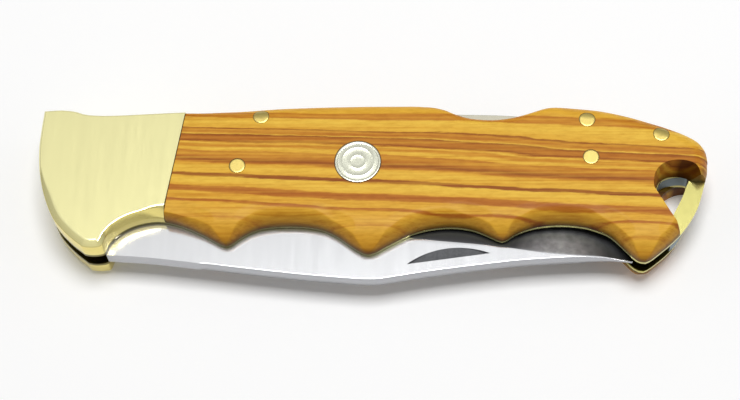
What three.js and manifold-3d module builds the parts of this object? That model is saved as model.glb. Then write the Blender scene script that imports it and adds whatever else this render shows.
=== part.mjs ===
// Folding lock-back pocket knife, closed, lying on its back half. Units mm, +Z up.
// +X runs along the handle away from the blade pivot, +Y to the handle's back,
// -Y to the finger grooves where the blade comes out. The pivot axis is at X = 0, Y = 0.
import * as THREE from 'three';
import { mergeVertices } from 'three/addons/utils/BufferGeometryUtils.js';
import Module from 'manifold-3d';

const wasm = await Module();
wasm.setup();

// Stack through the thickness
const BLADE_T = 3.1;
const WASHER_T = 0.1;
const LINER_T = 0.7;
const SCALE_T = 4.15;
const SLOT_T = BLADE_T + 2 * WASHER_T;
const SLIDE_GAP = 0.1;
const LOCK_BAR_T = SLOT_T - 2 * SLIDE_GAP;
const SPRING_T = SLOT_T - 0.3;

// Levels, measured up from the face the knife lies on
const Z_BACK_LINER = SCALE_T;
const Z_SLOT = Z_BACK_LINER + LINER_T;
const Z_FRONT_LINER = Z_SLOT + SLOT_T;
const Z_FRONT_SCALE = Z_FRONT_LINER + LINER_T;
const Z_TOP = Z_FRONT_SCALE + SCALE_T;
const Z_MID = Z_TOP / 2;

// Pins and the holes they sit in
const PIN_D = 2.9;
const PIN_FIT = 0.03;
const TURN_FIT = 0.04;
const PIVOT_D = 5.0;
const PIVOT_COVER = 1.2;
const WASHER_D = 11.0;
const RIVET_D = 2.0;
const RIVET_DEPTH = 3.3;
const LOCK_PIN_AT = [26.8, 13.05];
const SPACER_PINS = {
  spacer_pin_upper: [88.3, 12.25],
  spacer_pin_middle: [88.8, 4.35],
  spacer_pin_rear: [102.0, 9.15],
};
const SCALE_RIVET_AT = [22.8, 2.55];
const BOLSTER_RIVETS = { upper: [-9.6, 8.6], lower: [4.6, -4.2] };

// Round shield let into the front scale
const SHIELD_AT = [45.4, 3.35];
const SHIELD_D = 8.6;
const SHIELD_DEPTH = 1.1;
const SHIELD_RIM = 0.12;
const INLAY_GAP = 0.05;

// Edges of the handle
const CHAMFER = 0.35;
const RELIEF_DEPTH = 2.1;
const JOINT_GAP = 0.05;
const JOINT_X = 10.4;
const JOINT_SLANT = 0.139;
const ROUND_LOW = 2.4;
const ROUND_BACK = 3.0;
const EDGE_WALL = 0.15;

// Lock: the tang's round, the hook that rides on it and its travel either way
const CAM_R = 8.6;
const HOOK_CLEAR = 0.08;
const HOOK_X = [1.6, 4.4];
const SEAT_DEG = 2.0;
const LOCK_GAP = 0.4;
const SPACER_FRONT = 80.6;
const SPRING_LEAF = 0.9;
const SPRING_SEAT = 5.4;

// Blade
const EDGE_T = 0.24;
const GRIND_START = 17;
const GRIND_FULL = 22;
const TIP_X = 96.3;
// Each peak between two grooves is rolled down towards its tip: tip and length of the roll
const PEAKS = [[21.1, -12.2, 6.2], [47.7, -13.85, 6.6], [72.3, -11.15, 5.2], [98.3, -15.35, 7]];
const NICK = { from: [54.6, -15.12], to: [70.0, -12.87], height: 1.95, depth: 0.7 };

// Outline of the handle, counter-clockwise from the front top corner
const BACK_LINE = [[-14.8, 14.4], [-11.5, 14.6], [-8.9, 14.3], [-7, 13.7], [-4.5, 13.45], [-1, 13.45],
  [4, 13.7], [9.7, 14], [15, 14.25], [20, 14.85], [25, 15.35], [30, 15.75], [36, 16], [44, 16.2],
  [52, 16.25], [58.2, 16.05], [61.5, 14.9], [63.7, 13.9], [66.3, 13.05], [69.7, 12.7], [72.1, 12.8],
  [74.5, 13.2], [76.9, 13.9], [79.3, 14.75], [81.5, 15.4], [84.5, 15.75], [88, 15.5], [91.6, 15],
  [96.4, 13.8], [100, 12.6], [103.6, 11.3], [107.1, 9.7], [109.2, 8.2], [110.3, 6.35], [110.6, 4.15]];
const BUTT_LINE = [[110.6, 4.15], [110.45, 2.3], [110.05, 0.9], [109.4, -1.45], [108.7, -3.65],
  [107.55, -6.05], [106.35, -7.95], [105.1, -9.6], [103.6, -11.2], [101.9, -12.75], [100.4, -14],
  [99.35, -14.85], [98.3, -15.35]];
const GROOVES = [
  [[98.3, -15.35], [97.2, -15.15], [96.3, -14.5], [94.3, -12.35], [92.1, -10.15], [89.6, -8.95],
    [87.3, -8.25], [83.1, -7.85], [78.8, -8.25], [76.7, -8.85], [74.5, -9.85], [73.1, -10.85],
    [72.3, -11.15]],
  [[72.3, -11.15], [71.5, -10.95], [69.6, -10], [67.2, -8.95], [64.8, -8.45], [62.5, -8.3],
    [60.1, -8.5], [57.8, -8.95], [55.4, -9.75], [53, -11.05], [50.8, -12.3], [49, -13.4],
    [47.7, -13.85]],
  [[47.7, -13.85], [46.6, -13.6], [44.2, -12.1], [42.2, -10.55], [39.8, -9.2], [37.4, -8.5],
    [32.6, -8.1], [27.9, -8.55], [25.5, -9.4], [23.2, -10.9], [22.1, -11.8], [21.1, -12.2]],
  [[21.1, -12.2], [20.1, -11.85], [16.7, -9.95], [13.7, -8.55], [10.8, -7.55], [8.2, -7.15],
    [6.1, -7.35], [4.1, -7.85], [2.5, -8.55], [1.2, -9.4], [0.1, -10.4], [-0.8, -11.6], [-1.25, -12.9]],
];
const TIP_LINE = [[-1.25, -12.9], [-1.6, -13.65], [-2.6, -13.95], [-4.1, -14.0], [-5.2, -13.8]];
const LEFT_LINE = [[-5.2, -13.8], [-8, -11.55], [-11.05, -8.15], [-13.3, -3.25], [-14.5, 1.5],
  [-15.05, 6.45], [-15, 10.5], [-14.8, 14.4]];

// The butt below the front liner is ground back a little, most beside the lanyard hole
const BUTT_UNDER = [[110.6, 4.15], [110.35, 2.3], [109.75, 0.9], [108.85, -1.45], [108.0, -3.65],
  [106.85, -6.05], [105.75, -7.95], [104.75, -9.6], [103.45, -11.2], [101.9, -12.75], [100.4, -14],
  [99.35, -14.85], [98.3, -15.35]];

// Lanyard hole through the liners and spacer; the scoop in the front scale widens above it
const HOLE = [[103.3, -6.7], [104.4, -4.7], [105.2, -3.15], [105.83, -1.87], [106.6, 0.16], [107.15, 1.7],
  [106.9, 2.15], [105.6, 2.2], [103.9, 2.1], [102.4, 1.8], [101.6, 1.55], [101.15, 1.2], [101.05, 0.4],
  [101.05, -3.05]];
const SCOOP = {
  base: { at: [104.6, -1.4], r: [3.65, 3.5], power: 4.5, start: 48, end: 205, side: [116, 0.9],
    tail: [[103.35, -6.1], [104.4, -7.7], [104.9, -9.3], [105, -11.5], [112, -12]] },
  rim: { at: [105, -1.3], r: [4.9, 5.1], power: 2.3, start: 26, end: 185, side: [116, 0.7],
    tail: [[102.9, -6.9], [104, -8.7], [104.5, -10.4], [104.6, -12.4], [112, -13]] },
};

// Spine, cutting edge and grind line of the closed blade
const SPINE = [[-1.4, -13.55], [6.9, -14.15], [16.3, -15.25], [25.7, -16.4], [35, -17.45], [42.4, -18.1],
  [47, -18.4], [49.4, -18.35], [52, -17.95], [57.1, -17.05], [62.6, -16.2], [68.1, -15.45],
  [75.5, -14.55], [82.8, -14], [88.4, -13.75], [92, -13.8], [TIP_X, -14.3]];
const EDGE = [[15, 1.4], [18, 0.7], [24, 1.6], [34, 2.8], [44, 3.3], [54, 3.1], [64, 2.2], [74, 0.3],
  [80, -1.6], [85, -3.8], [89, -6.2], [92, -8.8], [94.3, -11.5], [96.3, -14.2]];
const GRIND = [[15, -9.2], [30, -9.3], [45, -9.6], [58.7, -10.45], [68.2, -11.35], [73.9, -12.05],
  [80.1, -13], [85, -13.45], [91, -13.5], [TIP_X, -14.26]];

const material = (color, roughness, metalness) =>
  new THREE.MeshStandardMaterial({ color, roughness, metalness });
const BRASS = material(0xe6d27a, 0.28, 1);
const PIN_BRASS = material(0xefdc86, 0.25, 1);
const OLIVE_WOOD = material(0xd79a3c, 0.42, 0);
const BLADE_STEEL = material(0xc9ccd0, 0.3, 1);
const FRAME_STEEL = material(0x9aa6ae, 0.38, 1);
const SPRING_STEEL = material(0x7d868c, 0.4, 1);
const NICKEL = material(0xd4d2c6, 0.25, 1);
const BRONZE = material(0xb98a55, 0.4, 1);

const knife = new THREE.Group();
knife.name = 'folding_knife';

function add(name, geometry, mat) {
  const mesh = new THREE.Mesh(geometry, mat);
  mesh.name = name;
  knife.add(mesh);
}

const vec = ([x, y]) => new THREE.Vector3(x, y, 0);

// Smooth line through points, sampled at an even spacing
function smooth(points, spacing = 0.9) {
  const curve = new THREE.CatmullRomCurve3(points.map(vec), false, 'centripetal');
  const steps = Math.max(2, Math.round(curve.getLength() / spacing));
  return curve.getSpacedPoints(steps).map((p) => [p.x, p.y]);
}

// Runs of points joined end to end, each shared end kept once
function chain(...runs) {
  const out = [];
  for (const run of runs) {
    for (const p of run) {
      const last = out[out.length - 1];
      if (!last || Math.hypot(p[0] - last[0], p[1] - last[1]) > 1e-4) out.push(p);
    }
  }
  const [a, b] = [out[0], out[out.length - 1]];
  if (Math.hypot(a[0] - b[0], a[1] - b[1]) < 1e-4) out.pop();
  return out;
}

// Height of a polyline that runs along X
function yAt(line, x) {
  for (let i = 1; i < line.length; i += 1) {
    const [a, b] = [line[i - 1], line[i]];
    if ((a[0] - x) * (b[0] - x) <= 0 && a[0] !== b[0]) {
      return a[1] + ((b[1] - a[1]) * (x - a[0])) / (b[0] - a[0]);
    }
  }
  return line[Math.abs(line[0][0] - x) < Math.abs(line[line.length - 1][0] - x) ? 0 : line.length - 1][1];
}

function distance(line, x, y) {
  let best = Infinity;
  for (let i = 1; i < line.length; i += 1) {
    const [ax, ay] = line[i - 1];
    const [bx, by] = line[i];
    const [dx, dy] = [bx - ax, by - ay];
    const t = THREE.MathUtils.clamp(((x - ax) * dx + (y - ay) * dy) / (dx * dx + dy * dy), 0, 1);
    best = Math.min(best, Math.hypot(x - ax - t * dx, y - ay - t * dy));
  }
  return best;
}

function arc(cx, cy, r, from, to, steps) {
  const out = [];
  for (let i = 0; i <= steps; i += 1) {
    const a = THREE.MathUtils.degToRad(from + ((to - from) * i) / steps);
    out.push([cx + r * Math.cos(a), cy + r * Math.sin(a)]);
  }
  return out;
}

function plate(outline, holes, z0, z1) {
  const shape = new THREE.Shape(outline.map(([x, y]) => new THREE.Vector2(x, y)));
  for (const hole of holes) shape.holes.push(new THREE.Path(hole.map(([x, y]) => new THREE.Vector2(x, y))));
  const geometry = new THREE.ExtrudeGeometry(shape, { depth: z1 - z0, steps: 1, bevelEnabled: false });
  return geometry.translate(0, 0, z0);
}

function circle(at, d, segments = 48) {
  const out = [];
  for (let i = 0; i < segments; i += 1) {
    const a = (2 * Math.PI * i) / segments;
    out.push([at[0] + (d / 2) * Math.cos(a), at[1] + (d / 2) * Math.sin(a)]);
  }
  return out;
}

const rod = (at, d, z0, z1, segments = 48) => plate(circle(at, d, segments), [], z0, z1);

// Closed body through rings of points, the first and last ring capped
function loft(rings) {
  const n = rings[0].length;
  const positions = rings.flat().flatMap((p) => [p.x, p.y, p.z]);
  const index = [];
  for (let k = 0; k + 1 < rings.length; k += 1) {
    for (let i = 0; i < n; i += 1) {
      const [a, b] = [k * n + i, k * n + ((i + 1) % n)];
      index.push(a, b, b + n, a, b + n, a + n);
    }
  }
  for (const [k, ring] of [[0, rings[0]], [rings.length - 1, rings[rings.length - 1]]]) {
    const flat = flatten(ring);
    for (const [a, b, c] of THREE.ShapeUtils.triangulateShape(flat, [])) {
      if (k === 0) index.push(a, c, b);
      else index.push(k * n + a, k * n + b, k * n + c);
    }
  }
  const geometry = new THREE.BufferGeometry();
  geometry.setAttribute('position', new THREE.Float32BufferAttribute(positions, 3));
  geometry.setIndex(index);
  return geometry;
}

// A flat ring seen along its own normal, turning counter-clockwise
function flatten(ring) {
  const spreadX = Math.max(...ring.map((p) => p.x)) - Math.min(...ring.map((p) => p.x));
  if (spreadX < 1e-3) return ring.map((p) => new THREE.Vector2(p.y, p.z));
  return ring.map((p) => new THREE.Vector2(p.x, p.y));
}

function solid(geometry) {
  const g = geometry.clone();
  g.deleteAttribute('normal');
  g.deleteAttribute('uv');
  const welded = mergeVertices(g, 1e-5);
  return new wasm.Manifold(new wasm.Mesh({
    numProp: 3,
    vertProperties: new Float32Array(welded.attributes.position.array),
    triVerts: new Uint32Array(welded.index.array),
  }));
}

function toGeometry(body) {
  const mesh = body.getMesh();
  const geometry = new THREE.BufferGeometry();
  geometry.setAttribute('position', new THREE.BufferAttribute(new Float32Array(mesh.vertProperties), 3));
  geometry.setIndex(new THREE.BufferAttribute(new Uint32Array(mesh.triVerts), 1));
  const flat = geometry.toNonIndexed();
  flat.computeVertexNormals();
  return flat;
}

const cut = (body, ...tools) => tools.reduce((b, t) => b.subtract(solid(t)), body);

function mirrored(geometry) {
  const g = geometry.index ? geometry.clone() : mergeVertices(geometry.clone());
  const p = g.attributes.position;
  for (let i = 0; i < p.count; i += 1) p.setZ(i, Z_TOP - p.getZ(i));
  const idx = g.index.array;
  for (let i = 0; i < idx.length; i += 3) [idx[i + 1], idx[i + 2]] = [idx[i + 2], idx[i + 1]];
  return g;
}

// Lines used by several pieces
const back = smooth(BACK_LINE);
const butt = smooth(BUTT_LINE);
const under = smooth(BUTT_UNDER);
const grooves = GROOVES.map((g) => smooth(g));
const [low, lowUnder] = [butt, under].map((b) => chain(b, ...grooves));
const [handle, handleUnder] = [low, lowUnder]
  .map((l) => chain(l, smooth(TIP_LINE, 0.4), smooth(LEFT_LINE, 1.2), back).reverse());
const step = (x, a, b) => THREE.MathUtils.smoothstep(x, a, b);

// Drop of a rounded edge of a given width and height at a distance from the outline
function drop(d, width, height) {
  if (d >= width) return 0;
  const u = 1 - d / width;
  return height * (1 - Math.sqrt(Math.max(0, 1 - u * u)));
}

// Drop of the peaks, strongest at the tips and fading to both sides
function peakDrop(x, y, height) {
  return Math.max(...PEAKS.map(([px, py, length]) => (
    drop(Math.max(0, y - py), length, height) * (1 - step(Math.abs(x - px), 2, 7)))));
}

// Front scale before holes: sections across the handle, rounded along both long edges
function scaleBlank(low) {
  const xs = [];
  for (let x = 5; x < 96; x += 1.25) xs.push(x);
  for (const peak of [20.5, 21.1, 21.8, 46.9, 47.7, 48.5, 71.8, 72.3, 72.8]) xs.push(peak);
  xs.push(96.2, 96.9, 97.6, 98.3);
  for (let i = 1; i <= 14; i += 1) xs.push(98.3 + 12.2 * Math.sin((Math.PI / 2) * (i / 14)));
  xs.sort((a, b) => a - b);
  const rings = xs.filter((x, i) => i === 0 || x - xs[i - 1] > 0.2).map((x) => {
    const [y0, y1] = [yAt(low, x), yAt(back, x)];
    const inNotch = step(x, 57, 62) * (1 - step(x, 80, 86));
    const wLow = ROUND_LOW - 0.8 * (1 - step(x, 11, 17));
    const hLow = SCALE_T - EDGE_WALL - 1.5 * (1 - step(x, 10, 20));
    const wBack = ROUND_BACK - 2.1 * (1 - step(x, 10, 25)) - 1.5 * inNotch;
    const hBack = wBack;
    const fit = Math.min(1, (y1 - y0) / (wLow + wBack + 0.4));
    const lowSteps = [0, 0.03, 0.12, 0.27, 0.47, 0.72, 1].map((t) => y0 + t * wLow * fit);
    const free = y1 - y0 - (wLow + wBack) * fit;
    for (const t of [0.24, 0.58, 1]) lowSteps.push(y0 + wLow * fit + t * Math.min(3.8, 0.8 * free));
    const backSteps = [1, 0.7, 0.45, 0.25, 0.1, 0.03, 0].map((t) => y1 - t * wBack * fit);
    const ring = [new THREE.Vector3(x, y0, 0), new THREE.Vector3(x, y1, 0)];
    for (const y of [...lowSteps, ...backSteps].reverse()) {
      const dLow = distance(low, x, y);
      const dBack = distance(back, x, y);
      const z = SCALE_T - Math.max(drop(dLow, wLow, hLow), drop(dBack, wBack, hBack), peakDrop(x, y, hLow));
      ring.push(new THREE.Vector3(x, y, z));
    }
    return ring;
  });
  return loft(rings).translate(0, 0, Z_FRONT_SCALE);
}

// Everything on one side of the slanted joint between bolster and scale
function jointBlock(side, gap) {
  const x = (y) => JOINT_X + JOINT_SLANT * y + (side * gap) / 2;
  const far = side > 0 ? 130 : -30;
  return plate([[x(-25), -25], [x(25), 25], [far, 25], [far, -25]], [], -2, Z_TOP + 2);
}

// Bolster blank: walls, then a chamfer that turns into a deep relief along the first groove.
// depthScale makes the chamfer deeper against its width.
function bolsterBlank(depthScale) {
  const outline = handle.filter(([x]) => x < 16);
  const n = outline.length;
  const low = (y) => (y < 0 ? 1 : 0);
  const width = outline.map(([x, y]) => CHAMFER
    + low(y) * (0.3 * step(x, -9, -4) + 0.95 * step(x, 4.5, 10.5)));
  const depth = outline.map(([x, y]) => depthScale * (CHAMFER + low(y) * 0.25 * step(x, -9, -4))
    + low(y) * RELIEF_DEPTH * step(x, -1.4, 1.2));
  const inner = outline.map((p, i) => {
    const [a, b] = [outline[(i + n - 1) % n], outline[(i + 1) % n]];
    const u = new THREE.Vector2(p[0] - a[0], p[1] - a[1]).normalize();
    const v = new THREE.Vector2(b[0] - p[0], b[1] - p[1]).normalize();
    const [m, w] = [new THREE.Vector2(-u.y - v.y, u.x + v.x), new THREE.Vector2(-u.y, u.x)];
    m.normalize();
    m.multiplyScalar(width[i] / Math.max(0.5, m.dot(w)));
    return [p[0] + (turning > 0 ? m.x : -m.x), p[1] + (turning > 0 ? m.y : -m.y)];
  });
  const at = (points, z) => points.map(([x, y], i) => new THREE.Vector3(x, y, z(i)));
  return loft([
    at(outline, () => Z_FRONT_SCALE),
    at(outline, (i) => Z_TOP - depth[i]),
    at(inner, () => Z_TOP),
  ]);
}
const turning = Math.sign(THREE.ShapeUtils.area(handle.map(([x, y]) => new THREE.Vector2(x, y))));

// Scoop over the lanyard hole, wider at the face than at the liner
function scoopTool(lowRing, highRing, z0, z1) {
  const ring = ({ at, r, power, start, end, side, tail }) => {
    const round = arc(0, 0, 1, start, end, 14).map(([c, s]) => {
      const grow = Math.pow(Math.abs(c) ** power + Math.abs(s) ** power, -1 / power);
      return [at[0] + r[0] * c * grow, at[1] + r[1] * s * grow];
    });
    return [side, ...round, ...tail];
  };
  const [a, b] = [ring(SCOOP[lowRing]), ring(SCOOP[highRing])];
  const grow = (t) => a.map(([x, y], i) => [x + (b[i][0] - x) * t, y + (b[i][1] - y) * t]);
  const rise = (points, z) => points.map(([x, y]) => new THREE.Vector3(x, y, z));
  return loft([rise(grow(-0.05), z0), rise(grow(1.05), z1)]);
}

// Handle halves
const blank = scaleBlank(low);
const blankUnder = mirrored(scaleBlank(lowUnder));
const pinHoles = [LOCK_PIN_AT, ...Object.values(SPACER_PINS), SCALE_RIVET_AT];
const holeTool = (at) => rod(at, PIN_D + 2 * PIN_FIT, -1, Z_TOP + 1);
const envelope = solid(blank)
  .add(solid(blankUnder))
  .add(solid(plate(handleUnder, [], Z_BACK_LINER - 0.1, Z_FRONT_SCALE + 0.1)));

const frontScale = cut(
  solid(blank),
  jointBlock(-1, -JOINT_GAP),
  scoopTool('base', 'rim', Z_FRONT_SCALE - 0.2, Z_TOP + 0.2),
  rod(SHIELD_AT, SHIELD_D + 2 * INLAY_GAP, Z_TOP - SHIELD_DEPTH - INLAY_GAP, Z_TOP + 1, 64),
  ...pinHoles.map(holeTool),
);
add('front_scale', toGeometry(frontScale), OLIVE_WOOD);
const backScale = cut(
  solid(blankUnder),
  jointBlock(-1, -JOINT_GAP),
  scoopTool('base', 'base', -0.2, Z_BACK_LINER + 0.2),
  ...pinHoles.map(holeTool),
);
add('back_scale', toGeometry(backScale), OLIVE_WOOD);

const pivotTool = rod([0, 0], PIVOT_D + 2 * PIN_FIT, PIVOT_COVER - PIN_FIT, Z_TOP - PIVOT_COVER + PIN_FIT);
const rivetZ = { front: [Z_FRONT_LINER + 0.02, Z_FRONT_SCALE + RIVET_DEPTH - LINER_T],
  back: [Z_BACK_LINER - RIVET_DEPTH + LINER_T, Z_SLOT - 0.02] };
for (const side of ['front', 'back']) {
  const [z0, z1] = rivetZ[side];
  const sockets = Object.values(BOLSTER_RIVETS)
    .map((at) => rod(at, RIVET_D + 2 * PIN_FIT, z0 - 0.1 - PIN_FIT, z1 + 0.1 + PIN_FIT, 32));
  const body = side === 'front' ? bolsterBlank(1) : mirrored(bolsterBlank(2));
  const bolster = cut(solid(body), jointBlock(1, JOINT_GAP), pivotTool, ...sockets);
  add(`${side}_bolster`, toGeometry(bolster), BRASS);
  for (const [where, at] of Object.entries(BOLSTER_RIVETS)) {
    add(`${side}_bolster_rivet_${where}`, rod(at, RIVET_D, z0, z1, 32), PIN_BRASS);
  }
  const holes = [
    circle([0, 0], PIVOT_D + 2 * PIN_FIT),
    ...pinHoles.map((at) => circle(at, PIN_D + 2 * PIN_FIT)),
    ...Object.values(BOLSTER_RIVETS).map((at) => circle(at, RIVET_D + 2 * PIN_FIT, 32)),
    HOLE,
  ];
  const liner = side === 'front' ? Z_FRONT_LINER : Z_BACK_LINER;
  const shape = side === 'front' ? handle : handleUnder;
  add(`${side}_liner`, plate(shape, holes, liner, liner + LINER_T), BRASS);
  const washer = side === 'front' ? Z_FRONT_LINER - WASHER_T : Z_SLOT;
  const bore = circle([0, 0], PIVOT_D + 2 * TURN_FIT);
  add(`${side}_washer`, plate(circle([0, 0], WASHER_D), [bore], washer, washer + WASHER_T), BRONZE);
}

// Pins, ground flush with the scales
const flush = (at, z0, z1) => toGeometry(solid(rod(at, PIN_D, z0, z1)).intersect(envelope));
add('pivot_pin', rod([0, 0], PIVOT_D, PIVOT_COVER, Z_TOP - PIVOT_COVER), PIN_BRASS);
add('lock_bar_pin', flush(LOCK_PIN_AT, 0, Z_TOP), PIN_BRASS);
for (const [name, at] of Object.entries(SPACER_PINS)) add(name, flush(at, 0, Z_TOP), PIN_BRASS);
add('front_scale_rivet', flush(SCALE_RIVET_AT, Z_FRONT_LINER + 0.02, Z_TOP), PIN_BRASS);
add('back_scale_rivet', flush(SCALE_RIVET_AT, 0, Z_SLOT - 0.02), PIN_BRASS);

// Shield: a flat disc with a raised rim
const shieldR = SHIELD_D / 2;
const shieldProfile = [[0, -SHIELD_DEPTH], [shieldR, -SHIELD_DEPTH], [shieldR, 0.02],
  [shieldR - 0.12, SHIELD_RIM], [shieldR - 0.45, SHIELD_RIM], [shieldR - 0.6, -0.02],
  [shieldR - 1.2, -0.02], [shieldR - 1.3, 0.05], [shieldR - 1.5, 0.05], [shieldR - 1.6, -0.02], [0, 0]];
const shield = new THREE.LatheGeometry(shieldProfile.map(([x, y]) => new THREE.Vector2(x, y)), 64);
add('shield', toGeometry(solid(shield.rotateX(Math.PI / 2).translate(...SHIELD_AT, Z_TOP))), NICKEL);

// Back spacer: fills the butt between the liners and is slotted for the spring's root
const springY = 7.35;
const slotHalf = SPRING_LEAF / 2 + INLAY_GAP;
const rearBack = back.filter(([x]) => x > SPACER_FRONT + 0.5);
const rearButt = under.filter(([, y]) => y > -11.2);
const spacerOutline = chain(
  [[SPACER_FRONT, yAt(back, SPACER_FRONT) - 0.1]], rearBack, rearButt,
  [[103.2, -11.3], [101.6, -9.8], [99.6, -6.4], [97.6, -2.6], [94, 0.4], [90, 1.2], [86.4, 1.4],
    [SPACER_FRONT, 5.6], [SPACER_FRONT, springY - slotHalf],
    [SPACER_FRONT + SPRING_SEAT, springY - slotHalf], [SPACER_FRONT + SPRING_SEAT, springY + slotHalf],
    [SPACER_FRONT, springY + slotHalf]],
);
const spacerHoles = [...Object.values(SPACER_PINS).map((at) => circle(at, PIN_D + 2 * PIN_FIT)), HOLE];
add('back_spacer', plate(spacerOutline, spacerHoles, Z_SLOT, Z_FRONT_LINER), FRAME_STEEL);

// Lock bar: rocks on its pin, its hook rides on the tang's round
const hookR = CAM_R + HOOK_CLEAR;
const hookAngle = (x) => THREE.MathUtils.radToDeg(Math.acos(x / hookR));
const barEnd = SPACER_FRONT - LOCK_GAP;
const barUnder = (x) => 8.4 + (x - 6.2) * 0.0243;
const lockTop = smooth([[HOOK_X[0], 13.4], [4, 13.65], [9.7, 13.95], [15, 14.3], [20, 14.9], [25, 15.3],
  [30, 15.65], [36, 15.95], [44, 16.1], [52, 16.15], [60, 16.05], [66, 15.95], [72, 15.8],
  [76, 15.5], [barEnd, 14.9]], 2);
const lockOutline = chain(
  lockTop, [[barEnd, barUnder(barEnd)], [6.2, barUnder(6.2)], [HOOK_X[1] + 0.08, barUnder(6.2) - 0.3]],
  arc(0, 0, hookR, hookAngle(HOOK_X[1]), hookAngle(HOOK_X[0]), 6),
);
const lockBore = circle(LOCK_PIN_AT, PIN_D + 2 * TURN_FIT);
add('lock_bar', plate(lockOutline, [lockBore], Z_MID - LOCK_BAR_T / 2, Z_MID + LOCK_BAR_T / 2), FRAME_STEEL);

// Leaf spring: rooted in the spacer, its bent tip lifts the bar behind the pin
const touchX = 49.5;
const touchY = barUnder(touchX) - SPRING_LEAF / 2 - 0.02;
const leaf = smooth([[SPACER_FRONT + SPRING_SEAT - INLAY_GAP, springY], [SPACER_FRONT - 1, springY],
  [70, springY + 0.1], [60, springY + 0.6], [53, touchY - 0.35], [touchX, touchY], [46.6, touchY - 0.35]], 1.5);
const leafEdge = (side) => leaf.map((p, i) => {
  const [a, b] = [leaf[Math.max(0, i - 1)], leaf[Math.min(leaf.length - 1, i + 1)]];
  const l = Math.hypot(b[0] - a[0], b[1] - a[1]);
  return [p[0] - (side * SPRING_LEAF * (b[1] - a[1])) / (2 * l), p[1] + (side * SPRING_LEAF * (b[0] - a[0])) / (2 * l)];
});
const springOutline = [...leafEdge(1), ...leafEdge(-1).reverse()];
add('lock_spring', plate(springOutline, [], Z_MID - SPRING_T / 2, Z_MID + SPRING_T / 2), SPRING_STEEL);

// Blade: tang plate joined to a ground blade
const spine = smooth(SPINE, 1.3);
const edge = smooth(EDGE, 1.3);
const grind = smooth(GRIND, 1.3);
const seat = THREE.MathUtils.degToRad(SEAT_DEG);
// A corner of the hook once the bar has dropped onto the tang, with room round it
function seated([x, y], roomX, roomY) {
  const [dx, dy] = [x - LOCK_PIN_AT[0], y - LOCK_PIN_AT[1]];
  return [LOCK_PIN_AT[0] + dx * Math.cos(seat) - dy * Math.sin(seat) + roomX,
    LOCK_PIN_AT[1] + dx * Math.sin(seat) + dy * Math.cos(seat) - roomY];
}
const onCircle = (x, r) => [x, Math.sqrt(r * r - x * x)];
const heel = seated(onCircle(HOOK_X[1], hookR), 0.14, 0.1);
const toe = seated(onCircle(HOOK_X[0], hookR), 0, 0.16);
const wallX = HOOK_X[0] - 0.2;
const pocket = [onCircle(heel[0], CAM_R), heel, [wallX, toe[1]]];
const angleOf = ([x, y]) => THREE.MathUtils.radToDeg(Math.atan2(y, x));
const pocketEnd = onCircle(wallX, CAM_R);
const tangOutline = chain(
  spine.filter(([x]) => x < 16),
  [[16, yAt(spine, 16)], [16, 1], [14.6, 3.6], [12.8, 7.8], [9.4, 7.65]],
  arc(0, 0, CAM_R, 33, angleOf(pocket[0]), 6),
  pocket.slice(1),
  arc(0, 0, CAM_R, angleOf(pocketEnd), angleOf(pocket[0]) + 180, 30),
  pocket.slice(1).map(([x, y]) => [-x, -y]),
);
const halfT = BLADE_T / 2;
function bladeSection(x) {
  const g = step(x, GRIND_START, GRIND_FULL);
  const ys = yAt(spine, x);
  const ye = yAt(edge, x);
  const toTip = step(x, 86, TIP_X);
  const h = halfT * (1 - 0.55 * toTip);
  const yg = THREE.MathUtils.lerp(ye - 0.3, Math.min(yAt(grind, x), ye - 0.08), g);
  const ym = THREE.MathUtils.lerp(ye - 0.15, (ye + yg) / 2, g);
  const hm = THREE.MathUtils.lerp(h, h * 0.42, g);
  const he = THREE.MathUtils.lerp(h, EDGE_T / 2, g);
  const side = [[ys, h], [yg, h], [ym, hm], [ye, he]];
  const points = [...side.map(([y, z]) => [y, -z]), ...side.reverse()];
  return points.map(([y, z]) => new THREE.Vector3(x, y, Z_MID + z));
}
const bladeXs = [15.5, 16.5];
for (let x = GRIND_START; x < 95; x += 1.3) bladeXs.push(x);
bladeXs.push(95.2, 95.8, 96.15);
const pivotBore = rod([0, 0], PIVOT_D + 2 * TURN_FIT, 0, Z_TOP);

// Nail nick: a segment of a circle, deepest along its straight side
const chord = new THREE.Vector2(NICK.to[0] - NICK.from[0], NICK.to[1] - NICK.from[1]);
const half = chord.length() / 2;
const nickR = (half * half + NICK.height * NICK.height) / (2 * NICK.height);
const spread = THREE.MathUtils.radToDeg(Math.asin(half / nickR));
const nickShape = arc(0, NICK.height - nickR, nickR, 90 - spread, 90 + spread, 20);
const nick = plate(nickShape, [], 0, 2)
  .rotateX(Math.atan2(NICK.depth, NICK.height))
  .rotateZ(chord.angle())
  .translate((NICK.from[0] + NICK.to[0]) / 2, (NICK.from[1] + NICK.to[1]) / 2, Z_MID + halfT - NICK.depth);
const blade = cut(
  solid(plate(tangOutline, [], Z_MID - halfT, Z_MID + halfT)).add(solid(loft(bladeXs.map(bladeSection)))),
  pivotBore,
  nick,
);
add('blade', toGeometry(blade), BLADE_STEEL);

export default knife;
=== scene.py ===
"""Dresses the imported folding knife: bolsters, scales, blade, lock parts, pins, shield and stage."""

import math
from contextlib import contextmanager

import bmesh
import bpy
import numpy as np
from mathutils import Matrix, Vector


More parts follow.
